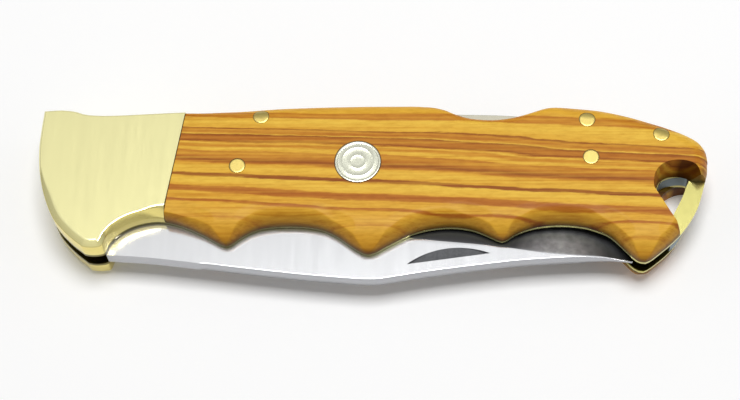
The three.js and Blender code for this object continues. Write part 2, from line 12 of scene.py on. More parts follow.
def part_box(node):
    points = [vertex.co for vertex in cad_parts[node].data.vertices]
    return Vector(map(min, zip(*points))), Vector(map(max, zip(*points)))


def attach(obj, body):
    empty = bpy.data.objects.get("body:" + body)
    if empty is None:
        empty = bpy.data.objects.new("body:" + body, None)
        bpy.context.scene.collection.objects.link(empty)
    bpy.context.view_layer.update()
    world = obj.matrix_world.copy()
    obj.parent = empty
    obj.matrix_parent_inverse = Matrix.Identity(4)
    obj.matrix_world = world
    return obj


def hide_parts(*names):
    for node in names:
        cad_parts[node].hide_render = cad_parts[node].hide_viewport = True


bl_info = {
    "name": "Folding Knife",
    "version": (1, 0, 0),
    "blender": (4, 5, 0),
    "location": "View3D > Sidebar > Knife",
    "description": "Builds the visible pieces of a folding lock-back knife over its solid model",
    "category": "Object",
}

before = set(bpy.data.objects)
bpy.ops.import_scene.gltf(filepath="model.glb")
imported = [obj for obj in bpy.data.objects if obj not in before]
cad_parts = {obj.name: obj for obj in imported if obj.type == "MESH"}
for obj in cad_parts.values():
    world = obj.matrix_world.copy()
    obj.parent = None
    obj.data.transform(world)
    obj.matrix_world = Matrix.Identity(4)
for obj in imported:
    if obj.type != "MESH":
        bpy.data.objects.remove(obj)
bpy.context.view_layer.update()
MM = 0.001



def levels(node):
    """Lowest and highest level of a solid, in mm."""
    return [corner[2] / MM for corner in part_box(node)]


# Levels through the thickness, in mm, read from the solids
Z_BACK_LINER, Z_SLOT = levels("back_liner")
Z_FRONT_LINER, Z_SCALE = levels("front_liner")
Z_TOP = levels("front_bolster")[1]
Z_MID = Z_TOP / 2
HALF_BLADE = (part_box("blade")[1][2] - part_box("blade")[0][2]) / MM / 2

# Pins and shield: place across the handle in mm, and the half of the handle that a pin is in
PINS = {
    "lock_bar_pin": ((26.8, 13.05), "through"),
    "spacer_pin_upper": ((88.3, 12.25), "through"),
    "spacer_pin_middle": ((88.8, 4.35), "through"),
    "spacer_pin_rear": ((102.0, 9.15), "through"),
    "front_scale_rivet": ((22.8, 2.55), "front"),
    "back_scale_rivet": ((22.8, 2.55), "back"),
}
SHIELD = (45.4, 3.35)

# Joint of bolster and wood, in mm: place, slant and half of the gap. The bolster is built a little
# longer and cut there.
JOINT_X, JOINT_SLANT, JOINT_GAP = 10.4, 0.139, 0.05
BOLSTER_END = 16

# Where the grooves end and the butt begins, and how far the wood reaches behind that, in mm
BUTT_START, BUTT_REACH = 98.3, 12.27

# Spacing of the points along a smoothed line, in mm
SPACING = 0.3

# Outline of the handle, as in the solids. The butt below the front liner is ground back a little.
BACK_LINE = [
    (-14.8, 14.4), (-11.5, 14.6), (-8.9, 14.3), (-7, 13.7), (-4.5, 13.45), (-1, 13.45), (4, 13.7),
    (9.7, 14), (15, 14.25), (20, 14.85), (25, 15.35), (30, 15.75), (36, 16), (44, 16.2),
    (52, 16.25), (58.2, 16.05), (61.5, 14.9), (63.7, 13.9), (66.3, 13.05), (69.7, 12.7),
    (72.1, 12.8), (74.5, 13.2), (76.9, 13.9), (79.3, 14.75), (81.5, 15.4), (84.5, 15.75),
    (88, 15.5), (91.6, 15), (96.4, 13.8), (100, 12.6), (103.6, 11.3), (107.1, 9.7), (109.2, 8.2),
    (110.3, 6.35), (110.6, 4.15)]
BUTT_LINE = [
    (110.6, 4.15), (110.45, 2.3), (110.05, 0.9), (109.4, -1.45), (108.7, -3.65), (107.55, -6.05),
    (106.35, -7.95), (105.1, -9.6), (103.6, -11.2), (101.9, -12.75), (100.4, -14), (99.35, -14.85),
    (98.3, -15.35)]
BUTT_UNDER = [(110.6, 4.15), (110.35, 2.3), (109.75, 0.9), (108.85, -1.45), (108.0, -3.65),
              (106.85, -6.05), (105.75, -7.95), (104.75, -9.6), (103.45, -11.2)] + BUTT_LINE[-4:]
GROOVES = [
    [(98.3, -15.35), (97.2, -15.15), (96.3, -14.5), (94.3, -12.35), (92.1, -10.15), (89.6, -8.95),
     (87.3, -8.25), (83.1, -7.85), (78.8, -8.25), (76.7, -8.85), (74.5, -9.85), (73.1, -10.85),
     (72.3, -11.15)],
    [(72.3, -11.15), (71.5, -10.95), (69.6, -10), (67.2, -8.95), (64.8, -8.45), (62.5, -8.3),
     (60.1, -8.5), (57.8, -8.95), (55.4, -9.75), (53, -11.05), (50.8, -12.3), (49, -13.4),
     (47.7, -13.85)],
    [(47.7, -13.85), (46.6, -13.6), (44.2, -12.1), (42.2, -10.55), (39.8, -9.2), (37.4, -8.5),
     (32.6, -8.1), (27.9, -8.55), (25.5, -9.4), (23.2, -10.9), (22.1, -11.8), (21.1, -12.2)],
    [(21.1, -12.2), (20.1, -11.85), (16.7, -9.95), (13.7, -8.55), (10.8, -7.55), (8.2, -7.15),
     (6.1, -7.35), (4.1, -7.85), (2.5, -8.55), (1.2, -9.4), (0.1, -10.4), (-0.8, -11.6),
     (-1.25, -12.9)],
]
TIP_LINE = [(-1.25, -12.9), (-1.6, -13.65), (-2.6, -13.95), (-4.1, -14.0), (-5.2, -13.8)]
LEFT_LINE = [
    (-5.2, -13.8), (-8, -11.55), (-11.05, -8.15), (-13.3, -3.25), (-14.5, 1.5), (-15.05, 6.45),
    (-15, 10.5), (-14.8, 14.4)]

# The peaks between the grooves are rolled down to their tips: tip and length of the roll
PEAKS = [((21.1, -12.2), 6.2), ((47.7, -13.85), 6.6), ((72.3, -11.15), 5.6), ((98.3, -15.35), 7.0)]

# Lanyard hole in liners and spacer, and the scoops in the scales
HOLE = [
    (103.3, -6.7), (104.4, -4.7), (105.2, -3.15), (105.83, -1.87), (106.6, 0.16), (107.15, 1.7),
    (106.9, 2.2), (105.6, 2.4), (104.4, 2.3), (103.1, 2.0), (102.0, 1.35), (101.25, 0.2),
    (100.95, -1.5), (100.95, -3.0)]
HOLE_CORNER = [
    (100.4, -4.2), (102.2, -4.6), (101.6, -2.6), (101.9, -0.3), (103.4, 1.2), (105.2, 1.9),
    (105.8, 3.2), (100.2, 3.2)]
SCOOP_BASE = {"at": (104.6, -1.35), "r": (3.6, 3.4), "power": 2.4, "start": 48, "side": (116, 0.9),
              "tail": [(103.35, -6.1), (104.4, -7.7), (104.9, -9.3), (105, -11.5), (112, -12)]}
SCOOP_RIM = {"at": (105, -1.3), "r": (4.9, 5.1), "power": 2.3, "start": 26, "side": (116, 0.7),
             "tail": [(102.9, -6.9), (104, -8.7), (104.5, -10.4), (104.6, -12.4), (112, -13)]}
SCOOP_BACK = {"at": (107.2, -3.2), "r": (6, 6), "power": 2, "start": 58, "side": (116, 1.3),
              "tail": [(102.6, -6.1), (103.8, -8.2), (104.6, -10.6), (104.8, -12), (112, -12.5)]}

# Middle of the dark shade in the front scoop
SCOOP_SHADE = (107.2, 2.2)

# Closed blade, in mm: spine, cutting edge, grind line, its tip, its start at the tang and the nick
SPINE = [
    (-1.4, -13.55), (6.9, -14.15), (16.3, -15.25), (25.7, -16.4), (35, -17.45), (42.4, -18.1),
    (47, -18.4), (49.4, -18.35), (52, -17.95), (57.1, -17.05), (62.6, -16.2), (68.1, -15.45),
    (75.5, -14.55), (82.8, -14), (88.4, -13.75), (92, -13.8), (96.3, -14.3)]
EDGE = [
    (15, 1.4), (18, 0.7), (24, 1.6), (34, 2.8), (44, 3.3), (54, 3.1), (64, 2.2), (74, 0.3),
    (80, -1.6), (85, -3.8), (89, -6.2), (92, -8.8), (94.3, -11.5), (96.3, -14.2)]
GRIND = [
    (15, -8.0), (30, -8.0), (45, -8.6), (52, -9.6), (58.7, -10.45), (68.2, -11.35), (73.9, -12.05),
    (80.1, -13), (85, -13.45), (91, -13.5), (96.3, -14.26)]
TIP_X = 96.3
BLADE_START = 16
NICK = {"from": (54.6, -15.12), "to": (70.0, -12.87), "height": 1.95, "depth": 0.7}

# Radii in mm: the bore of the tang, the seats of pins and shield
BORE_RADIUS, PIN_SEAT, SHIELD_SEAT = 2.54, 1.48, 4.34

# Stage, in metres and watts, and the picture in pixels and mm
LAMP_PLACE, LAMP_SIZE, LAMP_POWER = (0.12, 0.13, 1.2), (0.6, 0.46), 11.0
FLOOR_GLOW = 0.09
LOOK_AT = (0.0475, -0.00145, 0.0065)
PIXELS_PER_METRE, PICTURE_WIDTH, SENSOR = 5300, 740, 36.0


# Lines and distances, worked out as arrays

def smooth(points, spacing):
    """Centripetal Catmull-Rom line through points: a cubic over each span whose knots lie the
    square root of the chord apart, then resampled at an even spacing along its length."""
    p = np.asarray(points, float)
    p = np.vstack([2 * p[0] - p[1], p, 2 * p[-1] - p[-2]])
    gap = np.sum(np.diff(p, axis=0) ** 2, axis=1) ** 0.25
    d0, d1, d2 = (gap[:-2, None], gap[1:-1, None], gap[2:, None])
    p0, p1, p2, p3 = (p[:-3], p[1:-2], p[2:-1], p[3:])
    t1 = ((p1 - p0) / d0 - (p2 - p0) / (d0 + d1) + (p2 - p1) / d1) * d1
    t2 = ((p2 - p1) / d1 - (p3 - p1) / (d1 + d2) + (p3 - p2) / d2) * d1
    t = np.linspace(0, 1, 40)[None, :, None]
    a, b, c = (p1[:, None], t1[:, None], p2[:, None])
    e = t2[:, None]
    line = a + b * t + (3 * (c - a) - 2 * b - e) * t ** 2 + (b + e - 2 * (c - a)) * t ** 3
    line = line.reshape(-1, 2)
    run = np.r_[0, np.cumsum(np.hypot(*np.diff(line, axis=0).T))]
    n = max(2, int(round(run[-1] / spacing)))
    at = np.linspace(0, run[-1], n + 1)
    return np.stack([np.interp(at, run, line[:, 0]), np.interp(at, run, line[:, 1])], 1)


def distance(line, x, y):
    """Distance from points to a polyline: the least over its spans of the distance to the
    nearest point of the span."""
    a, d = line[:-1], np.diff(line, axis=0)
    shape = x.shape
    x, y = x.ravel(), y.ravel()
    best = np.full(x.size, np.inf)
    length = np.sum(d * d, axis=1)
    for i in range(0, x.size, 4000):
        part = slice(i, i + 4000)
        px, py = x[part, None] - a[None, :, 0], y[part, None] - a[None, :, 1]
        t = np.clip((px * d[:, 0] + py * d[:, 1]) / length, 0, 1)
        best[part] = np.sqrt(np.min((px - t * d[:, 0]) ** 2 + (py - t * d[:, 1]) ** 2, axis=1))
    return best.reshape(shape)


def step(x, a, b):
    """Smooth step from 0 at a to 1 at b."""
    t = np.clip((np.asarray(x, float) - a) / (b - a), 0, 1)
    return t * t * (3 - 2 * t)


def y_at(line, x):
    """Y of a line that runs along X, by straight interpolation."""
    order = np.argsort(line[:, 0], kind="stable")
    return np.interp(x, line[order, 0], line[order, 1])


BACK = smooth(BACK_LINE, SPACING)
GROOVE_RUN = np.vstack([smooth(g, SPACING)[1:] for g in GROOVES])
LOW, LOW_UNDER = (np.vstack([smooth(line, SPACING), GROOVE_RUN])
                  for line in (BUTT_LINE, BUTT_UNDER))
SPINE_RUN, EDGE_RUN, GRIND_RUN = (smooth(line, SPACING) for line in (SPINE, EDGE, GRIND))

# The handle's whole outline, anticlockwise. Runs share their ends, and each end is kept once.
HANDLE = np.vstack([run[1:] for run in (LOW, smooth(TIP_LINE, 0.25), smooth(LEFT_LINE, 0.4),
                                        BACK)])[::-1]


def drop(d, width, height):
    """Quarter ellipse: how far a rounded edge lies below the face, d away from the outline."""
    u = np.clip(1 - d / width, 0, 1)
    return height * (1 - np.sqrt(1 - u * u))


def edge_widths(x):
    """Width of the rounding along the grooves, its height, and the width along the back."""
    in_notch = step(x, 57, 62) * (1 - step(x, 80, 86))
    w_low = 2.8 - 1.2 * (1 - step(x, 11, 17))
    h_low = Z_TOP - Z_SCALE - 0.15 - 1.5 * (1 - step(x, 10, 20))
    w_back = 3.0 - 2.1 * (1 - step(x, 10, 25)) - 1.5 * in_notch
    return w_low, h_low, w_back


def scale_height(x, y, low):
    """Height of the wood over the liner, in mm: the full thickness less the deepest of four drops.
    Quarter ellipses run along the grooves, along the back and down to each peak, and a flat bevel
    borders the grooves, wider beside the peaks."""
    w_low, h_low, w_back = edge_widths(x)
    near, fall = distance(low, x, y), np.zeros(np.shape(x))
    wide, lean = 3.4, 1 - step(x, 14, 20)
    for (px, py), length in PEAKS:
        roll = drop(np.maximum(0, y - py), length, h_low)
        fall = np.maximum(fall, roll * (1 - step(np.abs(x - px), 2, 7)))
        lean = np.maximum(lean, (1 - step(px - x, 6, 12)) * (x < px + 0.5))
        lean = np.maximum(lean, 0.7 * (1 - step(x - px, 3, 8)) * (x >= px + 0.5))
    fall = np.maximum(fall, 0.33 * lean * (wide - near) * h_low / 4)
    fall = np.maximum(fall, drop(near, w_low, h_low))
    fall = np.maximum(fall, drop(distance(BACK, x, y), w_back, w_back))
    return np.maximum(Z_TOP - Z_SCALE - fall, 0.05)


# Meshes

@contextmanager
def edited(mesh):
    """Opens a mesh for editing and writes it back."""
    bm = bmesh.new()
    bm.from_mesh(mesh)
    yield bm
    bm.to_mesh(mesh)
    bm.free()


def new_object(name, data):
    """New object in the scene's collection."""
    obj = bpy.data.objects.new(name, data)
    bpy.context.collection.objects.link(obj)
    return obj


def mesh_object(name, verts, faces, sharp=35):
    """Mesh object from points in mm; edges sharper than the angle stay hard."""
    mesh = bpy.data.meshes.new(name)
    mesh.from_pydata((np.asarray(verts, float) * MM).tolist(), [], faces)
    mesh.update()
    with edited(mesh) as bm:
        bmesh.ops.remove_doubles(bm, verts=bm.verts, dist=1e-7)
        bmesh.ops.recalc_face_normals(bm, faces=bm.faces)
    obj = new_object(name, mesh)
    shade(obj, sharp)
    return obj


def shade(obj, angle):
    """Smooth shading that keeps the edges over an angle hard."""
    obj.data.polygons.foreach_set("use_smooth", [True] * len(obj.data.polygons))
    obj.data.set_sharp_from_angle(angle=math.radians(angle))


def rows_of(items, key, size=3, kind=float):
    """One property of all vertices, edges or faces of a mesh, a row for each."""
    values = np.empty(len(items) * size, kind)
    items.foreach_get(key, values)
    return values.reshape(-1, size)


def skin(rings):
    """Points and faces through rings of equally many points, closed at the last ring only."""
    rings = np.asarray(rings, float)
    rows, cols = rings.shape[:2]
    a = np.arange((rows - 1) * cols).reshape(-1, cols)
    b = np.roll(a, -1, axis=1)
    faces = np.stack([a, b, b + cols, a + cols], -1).reshape(-1, 4).tolist()
    return rings.reshape(-1, 3), faces + [list(range((rows - 1) * cols, rows * cols))]


def loft(rings):
    """Points and faces of a closed body through rings of equally many points."""
    points, faces = skin(rings)
    faces.insert(-1, list(range(len(rings[0])))[::-1])
    return points, faces


def flipped(verts):
    """The same points turned over to the other half of the handle."""
    out = np.array(verts, float)
    out[:, 2] = Z_TOP - out[:, 2]
    return out


def combine(obj, operation, tools):
    """Applies exact booleans with closed tool meshes to a piece and removes the tools."""
    for tool in tools:
        mod = obj.modifiers.new("cut", "BOOLEAN")
        mod.operation, mod.solver, mod.object = operation, "EXACT", tool
    apply_modifiers(obj)
    for tool in tools:
        bpy.data.objects.remove(tool, do_unlink=True)


def apply_modifiers(obj):
    """Replaces a piece's mesh by what its modifiers make of it."""
    graph = bpy.context.evaluated_depsgraph_get()
    mesh = bpy.data.meshes.new_from_object(obj.evaluated_get(graph))
    obj.modifiers.clear()
    old = obj.data
    obj.data = mesh
    bpy.data.meshes.remove(old)


def at_height(outline, z):
    """Points of a flat outline at a height."""
    return np.c_[np.asarray(outline, float), np.full(len(outline), z)]


def prism(name, outline, z0, z1):
    """Closed straight body over an outline between two heights."""
    return mesh_object(name, *loft([at_height(outline, z) for z in (z0, z1)]))


def arc(at, radius, angles):
    """Points of an arc: centre plus radius times cosine and sine of the angles."""
    return np.stack([at[0] + radius * np.cos(angles), at[1] + radius * np.sin(angles)], 1)


def circle(at, radius, segments):
    """Evenly spaced points of a whole circle."""
    return arc(at, radius, np.linspace(0, 2 * np.pi, segments, endpoint=False))


def rod(name, at, radius, z0, z1, segments=64):
    """Closed round rod between two heights."""
    return prism(name, circle(at, radius, segments), z0, z1)


def dress(obj, finish):
    """Gives an object one material."""
    obj.data.materials.clear()
    obj.data.materials.append(material(finish))


def finish_piece(obj, body, finish, node):
    """Gives a finished piece its body, its material and the node it stands for."""
    dress(obj, finish)
    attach(obj, body)
    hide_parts(node)


# Shader building blocks

def node_group(name, inputs, outputs):
    """New shader node group. Its inputs are numbers with a default, or vectors where that is
    None, and its outputs are numbers. Returns the tree, what comes in and what goes out."""
    tree = bpy.data.node_groups.new(name, "ShaderNodeTree")
    for label, default in inputs.items():
        kind = "NodeSocketVector" if default is None else "NodeSocketFloat"
        socket = tree.interface.new_socket(name=label, in_out="INPUT", socket_type=kind)
        if default is not None:
            socket.default_value = default
    for label in outputs:
        tree.interface.new_socket(name=label, in_out="OUTPUT", socket_type="NodeSocketFloat")
    return (tree, tree.nodes.new("NodeGroupInput").outputs,
            tree.nodes.new("NodeGroupOutput").inputs)


def feed(tree, sockets, inputs):
    """Sets inputs to values, or links them to other nodes' outputs."""
    for key, value in inputs.items():
        if isinstance(value, bpy.types.NodeSocket):
            tree.links.new(value, sockets[key])
        else:
            sockets[key].default_value = value


def put(tree, kind, inputs=None, **props):
    """Adds a node, sets its properties and feeds its inputs."""
    node = tree.nodes.new(kind)
    for key, value in props.items():
        setattr(node, key, value)
    feed(tree, node.inputs, inputs or {})
    return node


def calc(tree, operation, a, b=0.0, clamp=False):
    """Result of a math node on values or outputs."""
    node = put(tree, "ShaderNodeMath", {0: a, 1: b}, operation=operation, use_clamp=clamp)
    return node.outputs[0]


def vector(tree, operation, a, b):
    """Vector math node on values or outputs."""
    return put(tree, "ShaderNodeVectorMath", {0: a, 1: b}, operation=operation).outputs


def parts(tree, value):
    """X, Y and Z of a vector."""
    return put(tree, "ShaderNodeSeparateXYZ", {"Vector": value}).outputs


def noise(tree, at, detail, scale=1.0, roughness=0.5):
    """Noise at the given coordinates, 0 to 1."""
    return put(tree, "ShaderNodeTexNoise", {"Vector": at, "Scale": scale, "Detail": detail,
                                            "Roughness": roughness}).outputs["Fac"]


def remap(tree, value, low=0.0, high=1.0, start=0.0, end=1.0):
    """A value carried from the range start to end over to the range low to high."""
    return put(tree, "ShaderNodeMapRange", {"Value": value, "From Min": start, "From Max": end,
                                            "To Min": low, "To Max": high}).outputs["Result"]


def mixed(tree, factor, a, b, blend="MIX"):
    """Colour a turned into colour b, or multiplied by it, by a factor."""
    a, b = ((*c, 1) if isinstance(c, tuple) else c for c in (a, b))
    return put(tree, "ShaderNodeMix", {"Factor": factor, "A": a, "B": b},
               data_type="RGBA", blend_type=blend).outputs["Result"]


def ramp(tree, source, stops):
    """Colour ramp with the given stops: a position and a colour, or a number for a grey."""
    node = put(tree, "ShaderNodeValToRGB", {"Fac": source})
    elements = node.color_ramp.elements
    for i, (position, colour) in enumerate(stops):
        element = elements[i] if i < 2 else elements.new(position)
        element.position = position
        element.color = (*colour, 1) if isinstance(colour, tuple) else (colour, colour, colour, 1)
    return node.outputs["Color"]


def grouped(tree, name, inputs):
    """Outputs of one of the shared groups."""
    return put(tree, "ShaderNodeGroup", inputs, node_tree=bpy.data.node_groups[name]).outputs


def linear(r, g, b):
    """Scene colour of an 8-bit display colour."""
    c = np.array([r, g, b]) / 255
    return tuple(float(v) for v in np.where(c <= 0.04045, c / 12.92, ((c + 0.055) / 1.055) ** 2.4))


def build_brushing():
    """Group: fine straight scratches along Y. Two noises drawn out along Y, one fine and one
    broad, give a height and a light-dark mask."""
    tree, given, out = node_group(
        "straight_brushing", {"Vector": None, "Across": 9000.0, "Along": 250.0, "Broad": 900.0},
        ("Height", "Mask"))

    def drawn_out(x, y, z, detail):
        scale = put(tree, "ShaderNodeCombineXYZ", {"X": x, "Y": y, "Z": z}).outputs[0]
        return noise(tree, vector(tree, "MULTIPLY", given["Vector"], scale)[0], detail)

    fine = drawn_out(given["Across"], given["Along"], given["Across"], 3.0)
    wide = drawn_out(given["Broad"], 60.0, 60.0, 2.0)
    both = put(tree, "ShaderNodeMix", {"Factor": 0.35, "A": fine, "B": wide}).outputs["Result"]
    feed(tree, out, {"Height": fine, "Mask": both})


def build_ring_mask():
    """Group: a thin ring round a point in X and Y, 1 on the ring and 0 away from it."""
    tree, given, out = node_group(
        "thin_ring", {"Vector": None, "Centre": None, "Radius": 0.0015, "Width": 0.0002}, ("Mask",))
    flat = vector(tree, "MULTIPLY", given["Vector"], (1, 1, 0))[0]
    away = vector(tree, "DISTANCE", flat, given["Centre"])["Value"]
    off = calc(tree, "ABSOLUTE", calc(tree, "SUBTRACT", away, given["Radius"]))
    mask = calc(tree, "SUBTRACT", 1.0, calc(tree, "DIVIDE", off, given["Width"]), clamp=True)
    feed(tree, out, {"Mask": mask})


def build_shade_side_mask():
    """Group: 1 on walls and slopes that face the groove side, away from the lamp, and 0 on level
    faces and on the back. It is worked out from the object's own normal and marks where shade is
    painted."""
    tree, given, out = node_group("groove_side", {"Normal": None}, ("Mask",))
    _, y, z = parts(tree, given["Normal"])
    steep = ramp(tree, calc(tree, "ABSOLUTE", z), [(0.55, 1), (0.97, 0)])
    low = remap(tree, y, start=-0.05, end=-0.3)
    feed(tree, out, {"Mask": calc(tree, "MULTIPLY", steep, low, clamp=True)})


def groove_side(tree):
    """Mask of the slopes on the groove side, where shade is painted."""
    normal = put(tree, "ShaderNodeTexCoord").outputs["Normal"]
    return grouped(tree, "groove_side", {"Normal": normal})["Mask"]


def ring_mask(tree, at, centre, radius, width):
    """Mask of a thin ring, or of a soft disc where the radius is 0, given in mm."""
    return grouped(tree, "thin_ring", {"Vector": at, "Centre": (centre[0] * MM, centre[1] * MM, 0),
                                       "Radius": radius * MM, "Width": width * MM})["Mask"]


def off_middle(tree, z):
    """Distance of a height from the middle of the knife's thickness."""
    return calc(tree, "ABSOLUTE", calc(tree, "SUBTRACT", z, Z_MID * MM))


def new_material(name):
    """New node material; returns it, its tree, its shader's inputs and Object coordinates."""
    mat = bpy.data.materials.new(name)
    mat.use_nodes = True
    tree = mat.node_tree
    at = put(tree, "ShaderNodeTexCoord").outputs["Object"]
    return mat, tree, tree.nodes["Principled BSDF"].inputs, at


def surface(tree, shader, colour, roughness, height, strength, reach):
    """Feeds colour, roughness and a bump of the given strength and reach to the shader."""
    bump = put(tree, "ShaderNodeBump", {"Height": height, "Strength": strength, "Distance": reach})
    feed(tree, shader, {"Base Color": colour, "Roughness": roughness,
                        "Normal": bump.outputs["Normal"]})


def metal(name, colour, roughness, across=9000.0, along=250.0, bump=0.05, tint=0.12, slope=None,
          metallic=1.0, front_and_slot_shade=False, painted_highlight=None):
    """Brushed or polished metal: colour and roughness vary with the brushing mask. A slope colour is
    multiplied in as painted shade on the slopes that face the groove side. Metal with front and slot
    shade is painted dark olive as shade between the liners, and on its groove side in the front half
    of the knife. A painted highlight, given by its centre and reach in mm, is a lighter cloudy place
    that stands in for a reflection."""
    mat, tree, shader, at = new_material(name)
    shader["Metallic"].default_value = metallic
    marks = grouped(tree, "straight_brushing", {"Vector": at, "Across": across, "Along": along})
    dark = tuple(c * (1 - tint) for c in colour)
    light = tuple(min(1.0, c * (1 + tint)) for c in colour)
    tone = mixed(tree, marks["Mask"], dark, light)
    if slope:
        # Painted shade: the slope colour is multiplied in on the slopes that face the groove side
        tone = mixed(tree, groove_side(tree), tone, slope, "MULTIPLY")
    if front_and_slot_shade:
        x, _, z = parts(tree, at)
        # Painted shade: the groove side in the front half of the knife is darkened to olive
        front = calc(tree, "MULTIPLY", groove_side(tree), remap(tree, x, start=0.054, end=0.046))
        tone = mixed(tree, front, tone, (0.28, 0.25, 0.14), "MULTIPLY")
        # Painted shade in the slot: faces close to the liners' inner face are darkened to olive
        gap = (Z_FRONT_LINER - Z_MID) * MM
        slot_shade = remap(tree, off_middle(tree, z), start=gap + 0.00012, end=gap + 0.00002)
        tone = mixed(tree, slot_shade, tone, (0.5, 0.45, 0.22), "MULTIPLY")
    if painted_highlight:
        # Painted highlight: a pale cloudy patch that stands in for a reflection
        cloud = remap(tree, noise(tree, at, 4.0, 700.0), 0.35, 0.75, 0.3, 0.7)
        share = calc(tree, "MULTIPLY", ring_mask(tree, at, painted_highlight[0], 0.0, painted_highlight[1]), cloud)
        tone = mixed(tree, share, tone, linear(225, 226, 228))
    rough = remap(tree, marks["Mask"], roughness - 0.06, roughness + 0.06)
    surface(tree, shader, tone, rough, marks["Height"], bump, 0.00002)
    return mat


# Streaks of the wood from the back to the grooves: height across the handle in mm, and tone
STREAKS_HIGH = [
    (16.6, "gold"), (13.7, "gold"), (13.4, "brown"), (12.7, "amber"), (12.2, "brown"),
    (11.85, "light"), (10.9, "light"), (9.5, "gold"), (9.3, "dark"), (8.95, "amber"),
    (8.5, "brown"), (8.05, "amber"), (7.9, "light"), (7.7, "dark"), (7.2, "brown"), (6.6, "brown"),
    (6.2, "dark"), (5.95, "amber"), (5.75, "light"), (5.4, "amber"), (5.0, "amber"), (4.6, "light")]
STREAKS_LOW = [
    (4.6, "light"), (4.15, "gold"), (3.95, "brown"), (3.4, "amber"), (2.7, "brown"), (2.0, "dark"),
    (1.5, "brown"), (1.15, "gold"), (0.4, "light"), (-0.75, "gold"), (-0.95, "dark"),
    (-1.45, "dark"), (-1.7, "light"), (-2.7, "light"), (-3.5, "gold"), (-3.7, "brown"),
    (-4.2, "red"), (-4.8, "brown"), (-5.05, "gold"), (-6.3, "gold"), (-6.6, "red"),
    (-6.95, "brown"), (-7.2, "gold"), (-9.4, "gold"), (-9.9, "amber"), (-10.2, "gold"),
    (-15.5, "amber")]
TONES = {"light": linear(241, 196, 74), "gold": linear(233, 180, 62), "amber": linear(212, 148, 47),
         "brown": linear(194, 124, 40), "red": linear(182, 108, 34), "dark": linear(154, 86, 27)}


def streak_ramp(tree, height, streaks):
    """Colour ramp of streaks over a height in metres."""
    low, high = streaks[-1][0], streaks[0][0]
    stops = [((y - low) / (high - low), TONES[tone]) for y, tone in reversed(streaks)]
    return ramp(tree, remap(tree, height, start=low * MM, end=high * MM), stops)


def olive_wood(name, rings):
    """Olive wood: golden ground with amber and brown streaks that run along the handle and fall
    slightly to the butt, fine grain, pores and short dark flecks. The streaks are two ramps over
    the height across the handle, which is bent by a slow and two finer noises. Painted shade
    darkens the slopes that face the groove side, the wood's foot and the scoop, and the wood is
    also darker at the joint and round each ring."""
    mat, tree, shader, at = new_material(name)
    x, y, z = parts(tree, at)

    def grained(scale, detail, roughness):
        place = put(tree, "ShaderNodeMapping", {"Vector": at, "Scale": scale}).outputs[0]
        return noise(tree, place, detail, roughness=roughness)

    slope = remap(tree, y, 0.053, 0.028, 0.007, 0.0135)
    fallen = calc(tree, "MULTIPLY", calc(tree, "SUBTRACT", x, 0.055), slope)
    height = calc(tree, "ADD", y, fallen)
    for bend, reach in ((grained((22, 90, 60), 2.0, 0.5), 0.0011),
                        (grained((75, 700, 300), 3.0, 0.6), 0.00045),
                        (grained((500, 2600, 900), 3.0, 0.6), 0.0002)):
        height = calc(tree, "ADD", height, remap(tree, bend, -reach, reach))
    high = calc(tree, "GREATER_THAN", height, STREAKS_LOW[0][0] * MM)
    colour = mixed(tree, high, streak_ramp(tree, height, STREAKS_LOW),
                   streak_ramp(tree, height, STREAKS_HIGH))
    broken = remap(tree, grained((11, 1300, 600), 5.0, 0.7), 0.0, 0.55, 0.5, 0.66)
    colour = mixed(tree, broken, colour, TONES["gold"])

    grain = grained((260, 5200, 3000), 4.0, 0.7)
    flecks = grained((14, 2300, 900), 4.0, 0.65)
    pores, specks = (grained(scale, 3.0, 0.6) for scale in ((420, 1700, 1200), (220, 1500, 900)))
    side = groove_side(tree)
    # Height over the liner, for the painted shade along the wood's foot
    foot = (Z_SCALE - Z_MID) * MM
    above = remap(tree, off_middle(tree, z), 0.0, 1.0, foot, foot + 0.0018)
    # Soft disc round the middle of the painted shade in the front scoop
    scoop = remap(tree, ring_mask(tree, at, SCOOP_SHADE, 0.0, 3.4), 0.0, 1.0, 0.0, 0.4)
    joint = calc(tree, "SUBTRACT", x, calc(tree, "MULTIPLY", y, JOINT_SLANT))
    seam = (JOINT_X + JOINT_GAP) * MM
    shades = [
        ((0.82, 0.66, 0.45), remap(tree, flecks, 0.0, 0.9, 0.5, 0.68)),
        ((0.87, 0.82, 0.72), remap(tree, pores, 0.0, 1.0, 0.4, 0.7)),
        ((0.93, 0.86, 0.72), remap(tree, specks, 0.0, 1.0, 0.45, 0.75)),
        ((0.74, 0.62, 0.46), remap(tree, grain, 0.0, 0.8, 0.6, 0.8)),
        # Painted shade on the slopes that face the groove side, away from the lamp
        ((0.76, 0.7, 0.62), side),
        # Painted shade along the wood's foot, where it meets the liner
        ((0.22, 0.22, 0.14), ramp(tree, above, [(0.0, 1), (0.3, 0.75), (1.0, 0)])),
        # Painted shade in the front scoop, on its slopes facing the groove side
        ((0.25, 0.18, 0.08), calc(tree, "MULTIPLY", scoop, side)),
        ((0.2, 0.15, 0.1), remap(tree, joint, 1.0, 0.0, seam, (JOINT_X + 0.2) * MM))]
    for tone, mask in shades:
        colour = mixed(tree, mask, colour, tone, "MULTIPLY")
    for centre, radius, width in rings:
        colour = mixed(tree, ring_mask(tree, at, centre, radius, width), colour, linear(96, 60, 20))
    surface(tree, shader, colour, remap(tree, grain, 0.38, 0.5), grain, 0.12, 0.00004)
    shader["Specular IOR Level"].default_value = 0.15
    return mat


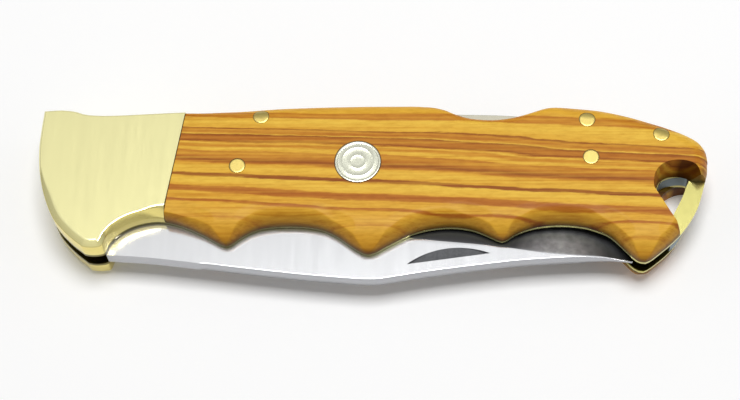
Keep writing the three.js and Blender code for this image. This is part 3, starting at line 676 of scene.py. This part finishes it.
# Each metal: its colour among the knife's colours, its roughness and its finish
METALS = {
    # The bolster's slope colour is painted olive shade on its slopes facing the groove side
    "bolster_brass": ("brass", 0.19, {"tint": 0.05, "slope": (1.0, 0.9, 0.6)}),
    # The liners get painted shade in the front half of their groove side and in the slot
    "liner_brass": ("liners", 0.2, {"across": 6000, "along": 900, "bump": 0.03, "tint": 0.05,
                                    "front_and_slot_shade": True}),
    "pin_brass": ("pins", 0.3, {"across": 4000, "along": 3000, "bump": 0.04, "tint": 0.1}),
    # The blade's slope colour is painted shade on its slopes facing the groove side
    "blade_steel": ("steel", 0.16, {"across": 12000, "along": 160, "bump": 0.03, "tint": 0.03,
                                    "slope": (0.66, 0.66, 0.68), "metallic": 0.85}),
    # The ground steel's dark tone is painted shade for the dark reflections in the grind, and its
    # spot is a painted highlight
    "ground_steel": ("ground_steel", 0.42, {"along": 300, "bump": 0.08, "tint": 0.15,
                                            "painted_highlight": ((83, -14.5), 9)}),
    # The nick steel's dark tone is painted shade in the recessed nick
    "nick_steel": ("nick_steel", 0.6, {"across": 2600, "along": 2200, "bump": 0.3, "tint": 0.6}),
    "frame_steel": ("lock_steel", 0.42, {"across": 900, "along": 9000}),
    # The spacer steel is a darker copy of the lock steel: painted shade on its wall in the lanyard
    # hole
    "spacer_steel": ("spacer_steel", 0.4, {"across": 900, "along": 9000}),
    "spring_steel": ("spring_steel", 0.36, {}),
    "nickel": ("shield", 0.22, {"across": 3000, "along": 3000, "bump": 0.04}),
    "bronze": ("bronze", 0.35, {}),
}
MATERIALS = {}


def material(name):
    """The knife's materials, made once and kept by name."""
    if not MATERIALS:
        for build in (build_brushing, build_ring_mask, build_shade_side_mask):
            build()
        colours = bpy.context.scene.knife_colours
        for key, (colour, roughness, finish) in METALS.items():
            MATERIALS[key] = metal(key, tuple(getattr(colours, colour)), roughness, **finish)
        rings = [(at, PIN_SEAT + 0.01, 0.1) for at, _ in PINS.values()]
        rings.append((SHIELD, SHIELD_SEAT + 0.03, 0.12))
        MATERIALS["olive_wood"] = olive_wood("olive_wood", rings)
    return MATERIALS[name]


# Settings

def length_setting(name, description, default):
    """A length, given in mm."""
    return bpy.props.FloatProperty(name=name, description=description, default=default * MM,
                                   unit="LENGTH", precision=5)


def angle_setting(name, description, default):
    """An angle, given in degrees."""
    return bpy.props.FloatProperty(name=name, description=description,
                                   default=math.radians(default), subtype="ANGLE")


def colour_setting(name, description, default):
    """A colour, given as a scene value."""
    return bpy.props.FloatVectorProperty(name=name, description=description, default=default,
                                         size=3, subtype="COLOR")


class KnifeSizes(bpy.types.PropertyGroup):
    """Sizes of the visible pieces that a user would change."""
    pin_radius: length_setting("Pin radius", "Radius of the brass pins", 1.45)
    shield_radius: length_setting("Shield radius", "Radius of the round shield", 4.3)
    camera_distance: length_setting("Camera distance", "From lens to handle", 350)
    camera_azimuth: angle_setting("Camera azimuth", "Turn to the butt side", 6.5)
    camera_elevation: angle_setting("Camera elevation", "Height over the table", 63.9)


class KnifeColours(bpy.types.PropertyGroup):
    """Colours of the knife's materials, as scene values."""
    brass: colour_setting("Brass", "Bolsters", linear(233, 227, 169))
    liners: colour_setting("Liners", "Brass liners", linear(200, 193, 120))
    pins: colour_setting("Pins", "Ground brass pin ends", linear(196, 176, 102))
    steel: colour_setting("Blade", "Satin blade steel", linear(214, 215, 217))
    # Dark: painted shade for the dark reflections in the grind
    ground_steel: colour_setting("Ground side", "Matte hollow grind", linear(78, 79, 82))
    # Dark: painted shade in the recessed nick
    nick_steel: colour_setting("Nail nick", "Rough floor of the nail nick", linear(84, 85, 87))
    lock_steel: colour_setting("Lock bar", "Filed steel of the lock bar", linear(150, 147, 133))
    # Darker than the lock bar: painted shade in the lanyard hole
    spacer_steel: colour_setting("Spacer", "Back spacer", linear(120, 134, 142))
    spring_steel: colour_setting("Spring", "Leaf spring", linear(150, 154, 158))
    shield: colour_setting("Shield", "Nickel silver", linear(199, 200, 183))
    bronze: colour_setting("Bronze", "Washers", linear(190, 150, 100))
    floor: colour_setting("Floor", "Plain pale table", (0.95, 0.95, 0.95))


# Pieces

def half_body(name, side, rings, keep):
    """Closed body through rings, turned over for the back half and cut at the slanted joint, half
    of the gap away from it. Keep is 1 for the butt's side of the cut and -1 for the bolster's."""
    points, faces = loft(rings)
    obj = mesh_object(name, points if side == "front" else flipped(points), faces)
    place = Vector((JOINT_X + keep * JOINT_GAP, 0, 0)) * MM
    outward = Vector((-keep, keep * JOINT_SLANT, 0)).normalized()
    with edited(obj.data) as bm:
        done = bmesh.ops.bisect_plane(bm, geom=bm.verts[:] + bm.edges[:] + bm.faces[:],
                                      plane_co=place, plane_no=outward, clear_outer=True)
        edges = [e for e in done["geom_cut"] if isinstance(e, bmesh.types.BMEdge)]
        bmesh.ops.holes_fill(bm, edges=edges, sides=0)
        bmesh.ops.recalc_face_normals(bm, faces=bm.faces)
    return obj


def bolster_rings(back_depth):
    """Rings of the bolster: the handle's outline in front of the joint, moved inwards along its
    mitres by an inset that follows wall, rounded shoulder, chamfer and rounded brow. Along the
    first groove the chamfer is a deep relief."""
    outline = HANDLE[HANDLE[:, 0] < BOLSTER_END]
    before, after = np.roll(outline, 1, 0), np.roll(outline, -1, 0)
    u = (outline - before) / np.linalg.norm(outline - before, axis=1)[:, None]
    v = (after - outline) / np.linalg.norm(after - outline, axis=1)[:, None]
    inward = np.stack([-u[:, 1], u[:, 0]], 1)
    mitre = np.stack([-(u + v)[:, 1], (u + v)[:, 0]], 1)
    mitre /= np.linalg.norm(mitre, axis=1)[:, None]
    reach = 1 / np.maximum(0.5, np.sum(mitre * inward, axis=1))
    x, under = outline[:, 0], outline[:, 1] < 0
    behind_nose = step(x, -2.5, -0.6)
    round_nose = step(-outline[:, 1], -3, 5) * (1 - behind_nose)
    width = 0.35 + 0.9 * round_nose + under * (0.3 * behind_nose + 0.95 * step(x, 4.5, 10.5))
    depth = (back_depth * (0.35 + 0.4 * round_nose + under * 0.25 * behind_nose)
             + under * 2.1 * step(x, -1.4, 1.2))
    profile = [(0, None), (0, -1.04), (0.015, -0.97), (0.06, -0.9), (0.14, -0.8), (0.84, -0.12),
               (0.93, -0.05), (1.06, -0.012), (1.25, 0), (1.28, 0)]
    rings = []
    for inset, fall in profile:
        xy = outline + mitre * (reach * width * inset)[:, None]
        z = np.full(len(xy), Z_SCALE) if fall is None else Z_TOP + depth * fall
        rings.append(np.c_[xy, z])
    return rings


class KNIFE_OT_bolsters(bpy.types.Operator):
    """Brass bolsters with chamfered edges, front and back"""
    bl_idname = "knife.bolsters"
    bl_label = "Bolsters"

    def execute(self, context):
        for side, back_depth in (("front", 1), ("back", 2)):
            obj = half_body(f"{side}_bolster_shell", side, bolster_rings(back_depth), -1)
            shade(obj, 30)
            finish_piece(obj, "handle", "bolster_brass", f"{side}_bolster")
        return {"FINISHED"}


def scale_points(low_line):
    """Grid of the scale's outer surface: stations along X, closer together at the butt, and at
    each a row of heights from the grooves to the back, closer together in the rounded edges.
    The two long sides go down to the liner as walls."""
    slowing = np.sin(np.linspace(0, np.pi / 2, 90))
    x = np.r_[np.arange(6, BUTT_START, 0.25), BUTT_START + BUTT_REACH * slowing]
    low, high = y_at(low_line, x), y_at(BACK, x)
    w_low, _, w_back = edge_widths(x)
    fit = np.minimum(1, (high - low) / (w_low + w_back + 0.4))
    t = np.linspace(0, 1, 24) ** 1.7
    y_low = low[:, None] + (w_low * fit * 1.05)[:, None] * t
    y_back = high[:, None] - (w_back * fit * 1.05)[:, None] * t[::-1]
    mid = (np.linspace(0, 1, 36) ** 1.5)[1:-1]
    y_mid = y_low[:, -1:] + (y_back[:, :1] - y_low[:, -1:]) * mid
    y = np.hstack([y_low, y_mid, y_back])
    xx = np.repeat(x[:, None], y.shape[1], 1)
    z = Z_SCALE + scale_height(xx, y, low_line)
    top = np.stack([xx, y, z], -1)
    foot = top[:, [0, -1]].copy()
    foot[..., 2] = Z_SCALE
    return np.concatenate([foot[:, :1], top, foot[:, 1:]], 1)


def scoop_tool(name, low_ring, high_ring, z0, z1):
    """Closed tool for the scoop: a squircle arc with a straight tail, widening from one ring
    at the liner to another at the face."""
    def ring(at, r, power, start, side, tail):
        a = np.radians(np.linspace(start, 185, 48))
        c, s = np.cos(a), np.sin(a)
        grow = (np.abs(c) ** power + np.abs(s) ** power) ** (-1 / power)
        bend = np.stack([at[0] + r[0] * c * grow, at[1] + r[1] * s * grow], 1)
        return np.vstack([[side], bend, tail])

    a, b = ring(**low_ring), ring(**high_ring)
    rings = [at_height(a + (b - a) * t, z0 + (z1 - z0) * t) for t in (-0.05, 1.05)]
    return mesh_object(name, *loft(rings))


class KNIFE_OT_scales(bpy.types.Operator):
    """Olive-wood scales, rounded along grooves and back, scooped over the lanyard opening"""
    bl_idname = "knife.scales"
    bl_label = "Scales"

    def execute(self, context):
        for side, line in (("front", LOW), ("back", LOW_UNDER)):
            obj = half_body(f"{side}_scale_wood", side, scale_points(line), 1)
            if side == "front":
                tools = [scoop_tool("scoop", SCOOP_BASE, SCOOP_RIM, Z_SCALE - 0.2, Z_TOP + 0.2),
                         rod("shield_seat", SHIELD, SHIELD_SEAT, Z_TOP - 1.15, Z_TOP + 1, 96)]
            else:
                tools = [scoop_tool("scoop", SCOOP_BACK, SCOOP_BACK, -0.2, Z_BACK_LINER + 0.2)]
            for at in {at for at, _ in PINS.values()}:
                tools.append(rod("pin_seat", at, PIN_SEAT, -1, Z_TOP + 1))
            combine(obj, "DIFFERENCE", tools)
            shade(obj, 28)
            finish_piece(obj, "handle", "olive_wood", f"{side}_scale")
        return {"FINISHED"}


def pin_end(at, radius):
    """Polar grid over one pin end: it follows the wood's rounding and falls a little at its rim."""
    r = radius * np.array([0.25, 0.5, 0.7, 0.85, 0.94, 0.985, 1.0])[::-1]
    x, y = np.moveaxis([circle(at, q, 64) for q in r], -1, 0)
    rim = 0.03 - 0.05 * step(r / radius, 0.93, 1.0)
    z = Z_SCALE + scale_height(x, y, LOW) + rim[:, None]
    return np.stack([x, y, z], -1)


class KNIFE_OT_pins(bpy.types.Operator):
    """Brass pins, ground flush with the wood on both sides"""
    bl_idname = "knife.pins"
    bl_label = "Pins"

    def execute(self, context):
        radius = context.scene.knife_sizes.pin_radius / MM
        for node, (at, kind) in PINS.items():
            front = pin_end(at, radius)
            if kind == "through":
                foot = flipped(front.reshape(-1, 3)).reshape(front.shape)[::-1]
            else:
                foot = front[:1].copy()
                foot[..., 2] = Z_FRONT_LINER + 0.02
            verts, faces = loft(np.concatenate([foot, front]))
            if kind == "back":
                verts = flipped(verts)
            obj = mesh_object(f"{node}_ground", verts, faces, 40)
            finish_piece(obj, "handle", "pin_brass", node)
        return {"FINISHED"}


class KNIFE_OT_shield(bpy.types.Operator):
    """Round nickel-silver shield with a raised rim and plain rings"""
    bl_idname = "knife.shield"
    bl_label = "Shield"

    def execute(self, context):
        r = context.scene.knife_sizes.shield_radius / MM
        profile = [(r, -1.1), (r, 0.0), (r - 0.03, 0.05), (r - 0.09, 0.08), (r - 0.16, 0.09),
                   (r - 0.4, 0.09), (r - 0.43, 0.08), (r - 0.47, 0.03), (r - 0.5, 0.01),
                   (r - 0.53, 0.01), (r - 1.2, 0.01), (r - 1.23, 0.015), (r - 1.28, 0.03),
                   (r - 1.34, 0.03), (r - 1.39, 0.015), (r - 1.42, 0.01), (1.5, 0.01),
                   (1.47, 0.015), (1.42, 0.025), (1.36, 0.025), (1.31, 0.015), (1.28, 0.01),
                   (0.62, 0.01), (0.6, 0.01)]
        rings = [at_height(circle(SHIELD, q, 96), Z_TOP + z) for q, z in profile]
        obj = mesh_object("shield_disc", *loft(rings), 40)
        finish_piece(obj, "handle", "nickel", "shield")
        return {"FINISHED"}


def blade_rings():
    """Sections of the ground blade from ricasso to tip. Each runs spine, flat, hollow grind and
    edge on one side and back on the other; the grind fades in behind the ricasso."""
    x = np.r_[BLADE_START, 16.4, np.arange(17, 94, 0.35),
              94 + 2.2 * np.sin(np.linspace(0, np.pi / 2, 24))]
    spine, edge = y_at(SPINE_RUN, x), y_at(EDGE_RUN, x)
    grind = np.minimum(y_at(GRIND_RUN, x), edge - 0.06)
    thin, hollowing = 0.1, 1.8
    g = step(x, 17, 22)
    h = HALF_BLADE * (1 - 0.78 * step(x, 84, TIP_X))
    start = edge - 0.3 + (grind - edge + 0.3) * g
    s = np.linspace(0, 1, 26)
    hollow = thin + (h[:, None] - thin) * (1 - s) ** hollowing
    hollow = h[:, None] + (hollow - h[:, None]) * g[:, None]
    y_grind = start[:, None] + (edge - start)[:, None] * s
    soft = np.minimum(0.14, 0.3 * (start - spine)) * step(x, BLADE_START, 17)
    y_flat = spine[:, None] + soft[:, None] * np.array([0, 0.3, 1.0, 1.4])
    z_flat = h[:, None] - soft[:, None] * np.array([1.0, 0.3, 0, 0])
    y_field = ((spine + 1.4 * soft)[:, None]
               + (start - spine - 1.4 * soft)[:, None] * np.linspace(0, 1, 12)[1:-1])
    z_field = np.repeat(h[:, None], y_field.shape[1], 1)
    y = np.hstack([y_flat, y_field, y_grind])
    z = np.hstack([z_flat, z_field, hollow])
    xx = np.repeat(x[:, None], y.shape[1], 1)
    front = np.stack([xx, y, Z_MID + z], -1)
    rear = np.stack([xx, y, Z_MID - z], -1)[:, ::-1]
    return np.concatenate([front, rear], 1)


def tang_outline():
    """Outline of the tang in front of the ground blade: spine, ricasso, kick, the round that the
    lock rides on, the relief of the closed blade and the notch of the open one."""
    round_r, hook_r, pin = 8.6, 8.68, np.array(PINS["lock_bar_pin"][0])
    seat = math.radians(2.0)

    def seated(x, room_x, room_y):
        d = np.array([x, math.sqrt(hook_r ** 2 - x * x)]) - pin
        return (pin[0] + d[0] * math.cos(seat) - d[1] * math.sin(seat) + room_x,
                pin[1] + d[0] * math.sin(seat) + d[1] * math.cos(seat) - room_y)

    def on_round(x):
        return (x, math.sqrt(round_r ** 2 - x * x))

    def rounded(a, b, n):
        return arc((0, 0), round_r, np.linspace(a, b, n))

    heel = seated(4.4, 0.14, 0.1)
    toe = (1.4, seated(1.6, 0, 0.16)[1])
    first, last = on_round(heel[0]), on_round(1.4)
    a0, a1 = math.atan2(first[1], first[0]), math.atan2(last[1], last[0])
    ricasso = [(BLADE_START, y_at(SPINE_RUN, BLADE_START)), (14.6, 3.6), (12.8, 7.8), (9.4, 7.65)]
    return np.vstack([SPINE_RUN[SPINE_RUN[:, 0] < BLADE_START - 0.2], ricasso,
                      rounded(math.radians(33), a0, 14), [heel, toe],
                      rounded(a1, a0 + math.pi, 70),
                      [(-heel[0], -heel[1]), (-toe[0], -toe[1])]])


class KNIFE_OT_blade(bpy.types.Operator):
    """Blade with tang, hollow grind and nail nick"""
    bl_idname = "knife.blade"
    bl_label = "Blade"

    def execute(self, context):
        # The first section's points become one side of the tang, so the two share them
        rings, outline = blade_rings(), tang_outline()
        points, faces = skin(rings)
        split = int(np.argmax(outline[:, 0] >= BLADE_START))
        loop = np.vstack([outline[split + 1:], outline[:split]])
        verts = np.vstack([points, at_height(loop, Z_MID + HALF_BLADE),
                           at_height(loop, Z_MID - HALF_BLADE)])
        top, low = np.arange(len(points), len(verts)).reshape(2, -1).tolist()
        ring_top, ring_low = np.arange(rings.shape[1]).reshape(2, -1).tolist()
        ring_low.reverse()
        faces += [top + ring_top, (low + ring_low)[::-1]]
        faces += [[a, b, d, c] for a, b, c, d in zip(top, low, top[1:], low[1:])]
        faces.append([top[-1], low[-1], ring_low[0], ring_top[0]])
        faces.append([ring_top[-1], ring_low[-1], low[0], top[0]])
        obj = mesh_object("blade_ground", verts, faces)
        bore = rod("pivot_bore", (0, 0), BORE_RADIUS, 0, Z_TOP, 96)
        combine(obj, "DIFFERENCE", [bore, nick_tool()])
        shade(obj, 24)
        finish_piece(obj, "blade", "blade_steel", "blade")
        # The ground faces get the dark ground steel and the nick's floor the dark nick steel: painted
        # shade
        for name in ("ground_steel", "nick_steel"):
            obj.data.materials.append(material(name))
        x, y, z = rows_of(obj.data.polygons, "center").T / MM
        level = np.abs(rows_of(obj.data.polygons, "normal")[:, 2]) > 0.8
        line = y_at(GRIND_RUN, x)
        ground = (x > 17.4) & (y > line) & level
        nick = (z > Z_MID) & (z < Z_MID + HALF_BLADE - 0.01)
        nick &= (x > NICK["from"][0] - 0.4) & (x < NICK["to"][0] + 0.5)
        nick &= (y > y_at(SPINE_RUN, x) + 0.4) & (y < line - 0.3)
        obj.data.polygons.foreach_set("material_index", (ground + 2 * nick).astype(np.int32))
        return {"FINISHED"}


def nick_tool():
    """Tool for the nail nick: a segment of a circle, tipped so that it is deepest at its chord."""
    a, b = np.array(NICK["from"]), np.array(NICK["to"])
    chord = b - a
    half = np.hypot(*chord) / 2
    r = (half ** 2 + NICK["height"] ** 2) / (2 * NICK["height"])
    spread = math.asin(half / r)
    t = np.linspace(math.pi / 2 - spread, math.pi / 2 + spread, 60)
    flat = arc((0, NICK["height"] - r), r, t)
    points, faces = loft([at_height(flat, z) for z in (0.0, 2.0)])
    tip = Matrix.Rotation(math.atan2(NICK["depth"], NICK["height"]), 3, "X")
    turn = Matrix.Rotation(math.atan2(chord[1], chord[0]), 3, "Z")
    points = points @ np.array(turn @ tip).T
    points += [*(a + b) / 2, Z_MID + HALF_BLADE - NICK["depth"]]
    return mesh_object("nick", points, faces)


def mark_grooves(mesh, level):
    """Gives full bevel weight to the edges that run along the grooves at one level, in mm."""
    x, y, z = rows_of(mesh.vertices, "co").T / MM
    chosen = (np.abs(z - level) < 0.01) & (x > 0.5) & (x < BUTT_START + 0.3)
    chosen &= np.abs(y - y_at(GROOVE_RUN, x)) < 0.3
    both = np.all(chosen[rows_of(mesh.edges, "vertices", 2, np.int32)], axis=1)
    weight = mesh.attributes.new("bevel_weight_edge", "FLOAT", "EDGE")
    weight.data.foreach_set("value", both.astype(np.float32))


def bevel(obj, width, segments, limit, **settings):
    """Adds a bevel to a piece, of a width in mm."""
    mod = obj.modifiers.new("bevel", "BEVEL")
    mod.width, mod.segments, mod.limit_method = width * MM, segments, limit
    for key, value in settings.items():
        setattr(mod, key, value)


def refined(node, suffix, width, body, finish, holed=False, slot_level=None):
    """Copy of a plain ground plate with its triangles merged and its edges broken by a bevel. A
    holed plate gets the rounded lanyard hole: its corner is filled, then the hole is cut anew.
    A plate with a slot level gets a wider chamfer along the grooves on that level."""
    obj = new_object(f"{node}_{suffix}", bpy.data.objects[node].data.copy())
    with edited(obj.data) as bm:
        bmesh.ops.remove_doubles(bm, verts=bm.verts, dist=2e-7)
        bmesh.ops.dissolve_limit(bm, angle_limit=math.radians(1), verts=bm.verts, edges=bm.edges)
    if holed:
        low, high = levels(node)
        combine(obj, "UNION", [prism("corner", HOLE_CORNER, low, high)])
        combine(obj, "DIFFERENCE",
                [prism("lanyard_hole", smooth(HOLE + HOLE[:1], 0.25)[:-1], low - 1, high + 1)])
    if slot_level is not None:
        mark_grooves(obj.data, slot_level)
        bevel(obj, 0.3, 1, "WEIGHT")
    bevel(obj, width, 2, "ANGLE", angle_limit=math.radians(50), use_clamp_overlap=True,
          harden_normals=True)
    shade(obj, 30)
    apply_modifiers(obj)
    finish_piece(obj, body, finish, node)


class KNIFE_OT_lock_parts(bpy.types.Operator):
    """Liners, spacer, lock bar, spring, washers and hidden pins"""
    bl_idname = "knife.lock_parts"
    bl_label = "Liners and lock"

    def execute(self, context):
        for node, level in (("front_liner", Z_FRONT_LINER), ("back_liner", Z_SLOT)):
            refined(node, "plate", 0.05, "handle", "liner_brass", True, level)
        refined("back_spacer", "plate", 0.08, "handle", "spacer_steel", True)
        refined("lock_bar", "filed", 0.12, "lock_bar", "frame_steel")
        finishes = {"pivot_pin": "pin_brass", "front_washer": "bronze", "back_washer": "bronze",
                    "lock_spring": "spring_steel"}
        finishes.update({node: "pin_brass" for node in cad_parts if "bolster_rivet" in node})
        for node, finish in finishes.items():
            dress(bpy.data.objects[node], finish)
        return {"FINISHED"}


def look_axes(azimuth, elevation):
    """Right, up and back axes of a camera that sees the X axis level in the picture."""
    level = math.cos(elevation)
    back = np.array([math.sin(azimuth) * level, -math.cos(azimuth) * level, math.sin(elevation)])
    right = np.array([1.0, 0, 0]) - back[0] * back
    right /= np.linalg.norm(right)
    return right, np.cross(back, right), back


class KNIFE_OT_stage(bpy.types.Operator):
    """Pale floor, soft light and the camera"""
    bl_idname = "knife.stage"
    bl_label = "Stage"

    def execute(self, context):
        scene = context.scene
        sizes, colours = scene.knife_sizes, scene.knife_colours
        corners = [(-900, -900, 0), (1100, -900, 0), (1100, 1100, 0), (-900, 1100, 0)]
        floor = mesh_object("floor", corners, [(0, 1, 2, 3)])
        mat, tree, shader, _ = new_material("floor")
        ray = put(tree, "ShaderNodeLightPath").outputs
        seen = calc(tree, "MAXIMUM", ray["Is Camera Ray"], ray["Is Glossy Ray"])
        seen = calc(tree, "MAXIMUM", seen, ray["Is Transmission Ray"])
        feed(tree, shader, {"Base Color": (*colours.floor, 1), "Roughness": 0.9,
                            "Specular IOR Level": 0.0, "Emission Color": (1, 1, 1, 1),
                            "Emission Strength": calc(tree, "MULTIPLY", seen, FLOOR_GLOW)})
        floor.data.materials.append(mat)

        # The sky lights the knife from its two ends. Metals mirror a paler one. The camera sees
        # white.
        world = bpy.data.worlds.new("studio") if scene.world is None else scene.world
        scene.world = world
        world.use_nodes = True
        tree = world.node_tree
        tree.nodes.clear()
        x, _, z = parts(tree, put(tree, "ShaderNodeTexCoord").outputs["Generated"])
        lit = ramp(tree, calc(tree, "ABSOLUTE", x), [(0, 0.1), (0.5, 0.15), (0.8, 0.5), (1, 0.7)])
        mirrored = ramp(tree, z, [(0, 0.45), (0.5, 0.62), (0.8, 0.86), (0.92, 0.93), (1, 0.5)])
        ray = put(tree, "ShaderNodeLightPath").outputs
        tone = mixed(tree, ray["Is Glossy Ray"], lit, mirrored)
        plain = calc(tree, "MAXIMUM", ray["Is Camera Ray"], ray["Is Transmission Ray"])
        tone = mixed(tree, plain, tone, (1, 1, 1))
        back = put(tree, "ShaderNodeBackground", {"Strength": 1.0, "Color": tone})
        put(tree, "ShaderNodeOutputWorld", {"Surface": back.outputs[0]})

        light = bpy.data.lights.new("key", "AREA")
        light.shape, light.energy = "RECTANGLE", LAMP_POWER
        light.size, light.size_y = LAMP_SIZE
        new_object("key", light).location = LAMP_PLACE

        cam_data = bpy.data.cameras.new("camera")
        cam = new_object("camera", cam_data)
        right, up_axis, back_axis = look_axes(sizes.camera_azimuth, sizes.camera_elevation)
        turn = Matrix([[right[i], up_axis[i], back_axis[i]] for i in range(3)])
        place = np.array(LOOK_AT) + back_axis * sizes.camera_distance
        cam.matrix_world = Matrix.Translation(place) @ turn.to_4x4()
        cam_data.sensor_width = SENSOR
        cam_data.lens = PIXELS_PER_METRE * sizes.camera_distance / PICTURE_WIDTH * SENSOR
        cam_data.clip_start = 0.01
        scene.camera = cam
        scene.view_settings.view_transform = "Standard"
        return {"FINISHED"}


class KNIFE_PT_panel(bpy.types.Panel):
    """Lists the knife's builders"""
    bl_idname = "KNIFE_PT_panel"
    bl_label = "Knife"
    bl_space_type = "VIEW_3D"
    bl_region_type = "UI"
    bl_category = "Knife"

    def draw(self, context):
        for cls in OPERATORS:
            self.layout.operator(cls.bl_idname)


OPERATORS = (KNIFE_OT_bolsters, KNIFE_OT_scales, KNIFE_OT_shield, KNIFE_OT_pins, KNIFE_OT_blade,
             KNIFE_OT_lock_parts, KNIFE_OT_stage)
CLASSES = (KnifeSizes, KnifeColours) + OPERATORS + (KNIFE_PT_panel,)


def register():
    for cls in CLASSES:
        bpy.utils.register_class(cls)
    bpy.types.Scene.knife_sizes = bpy.props.PointerProperty(type=KnifeSizes)
    bpy.types.Scene.knife_colours = bpy.props.PointerProperty(type=KnifeColours)


def unregister():
    del bpy.types.Scene.knife_colours
    del bpy.types.Scene.knife_sizes
    for cls in reversed(CLASSES):
        bpy.utils.unregister_class(cls)


def main():
    register()
    bpy.ops.knife.bolsters()
    bpy.ops.knife.scales()
    bpy.ops.knife.shield()
    bpy.ops.knife.pins()
    bpy.ops.knife.blade()
    bpy.ops.knife.lock_parts()
    bpy.ops.knife.stage()


if __name__ == "__main__":
    main()
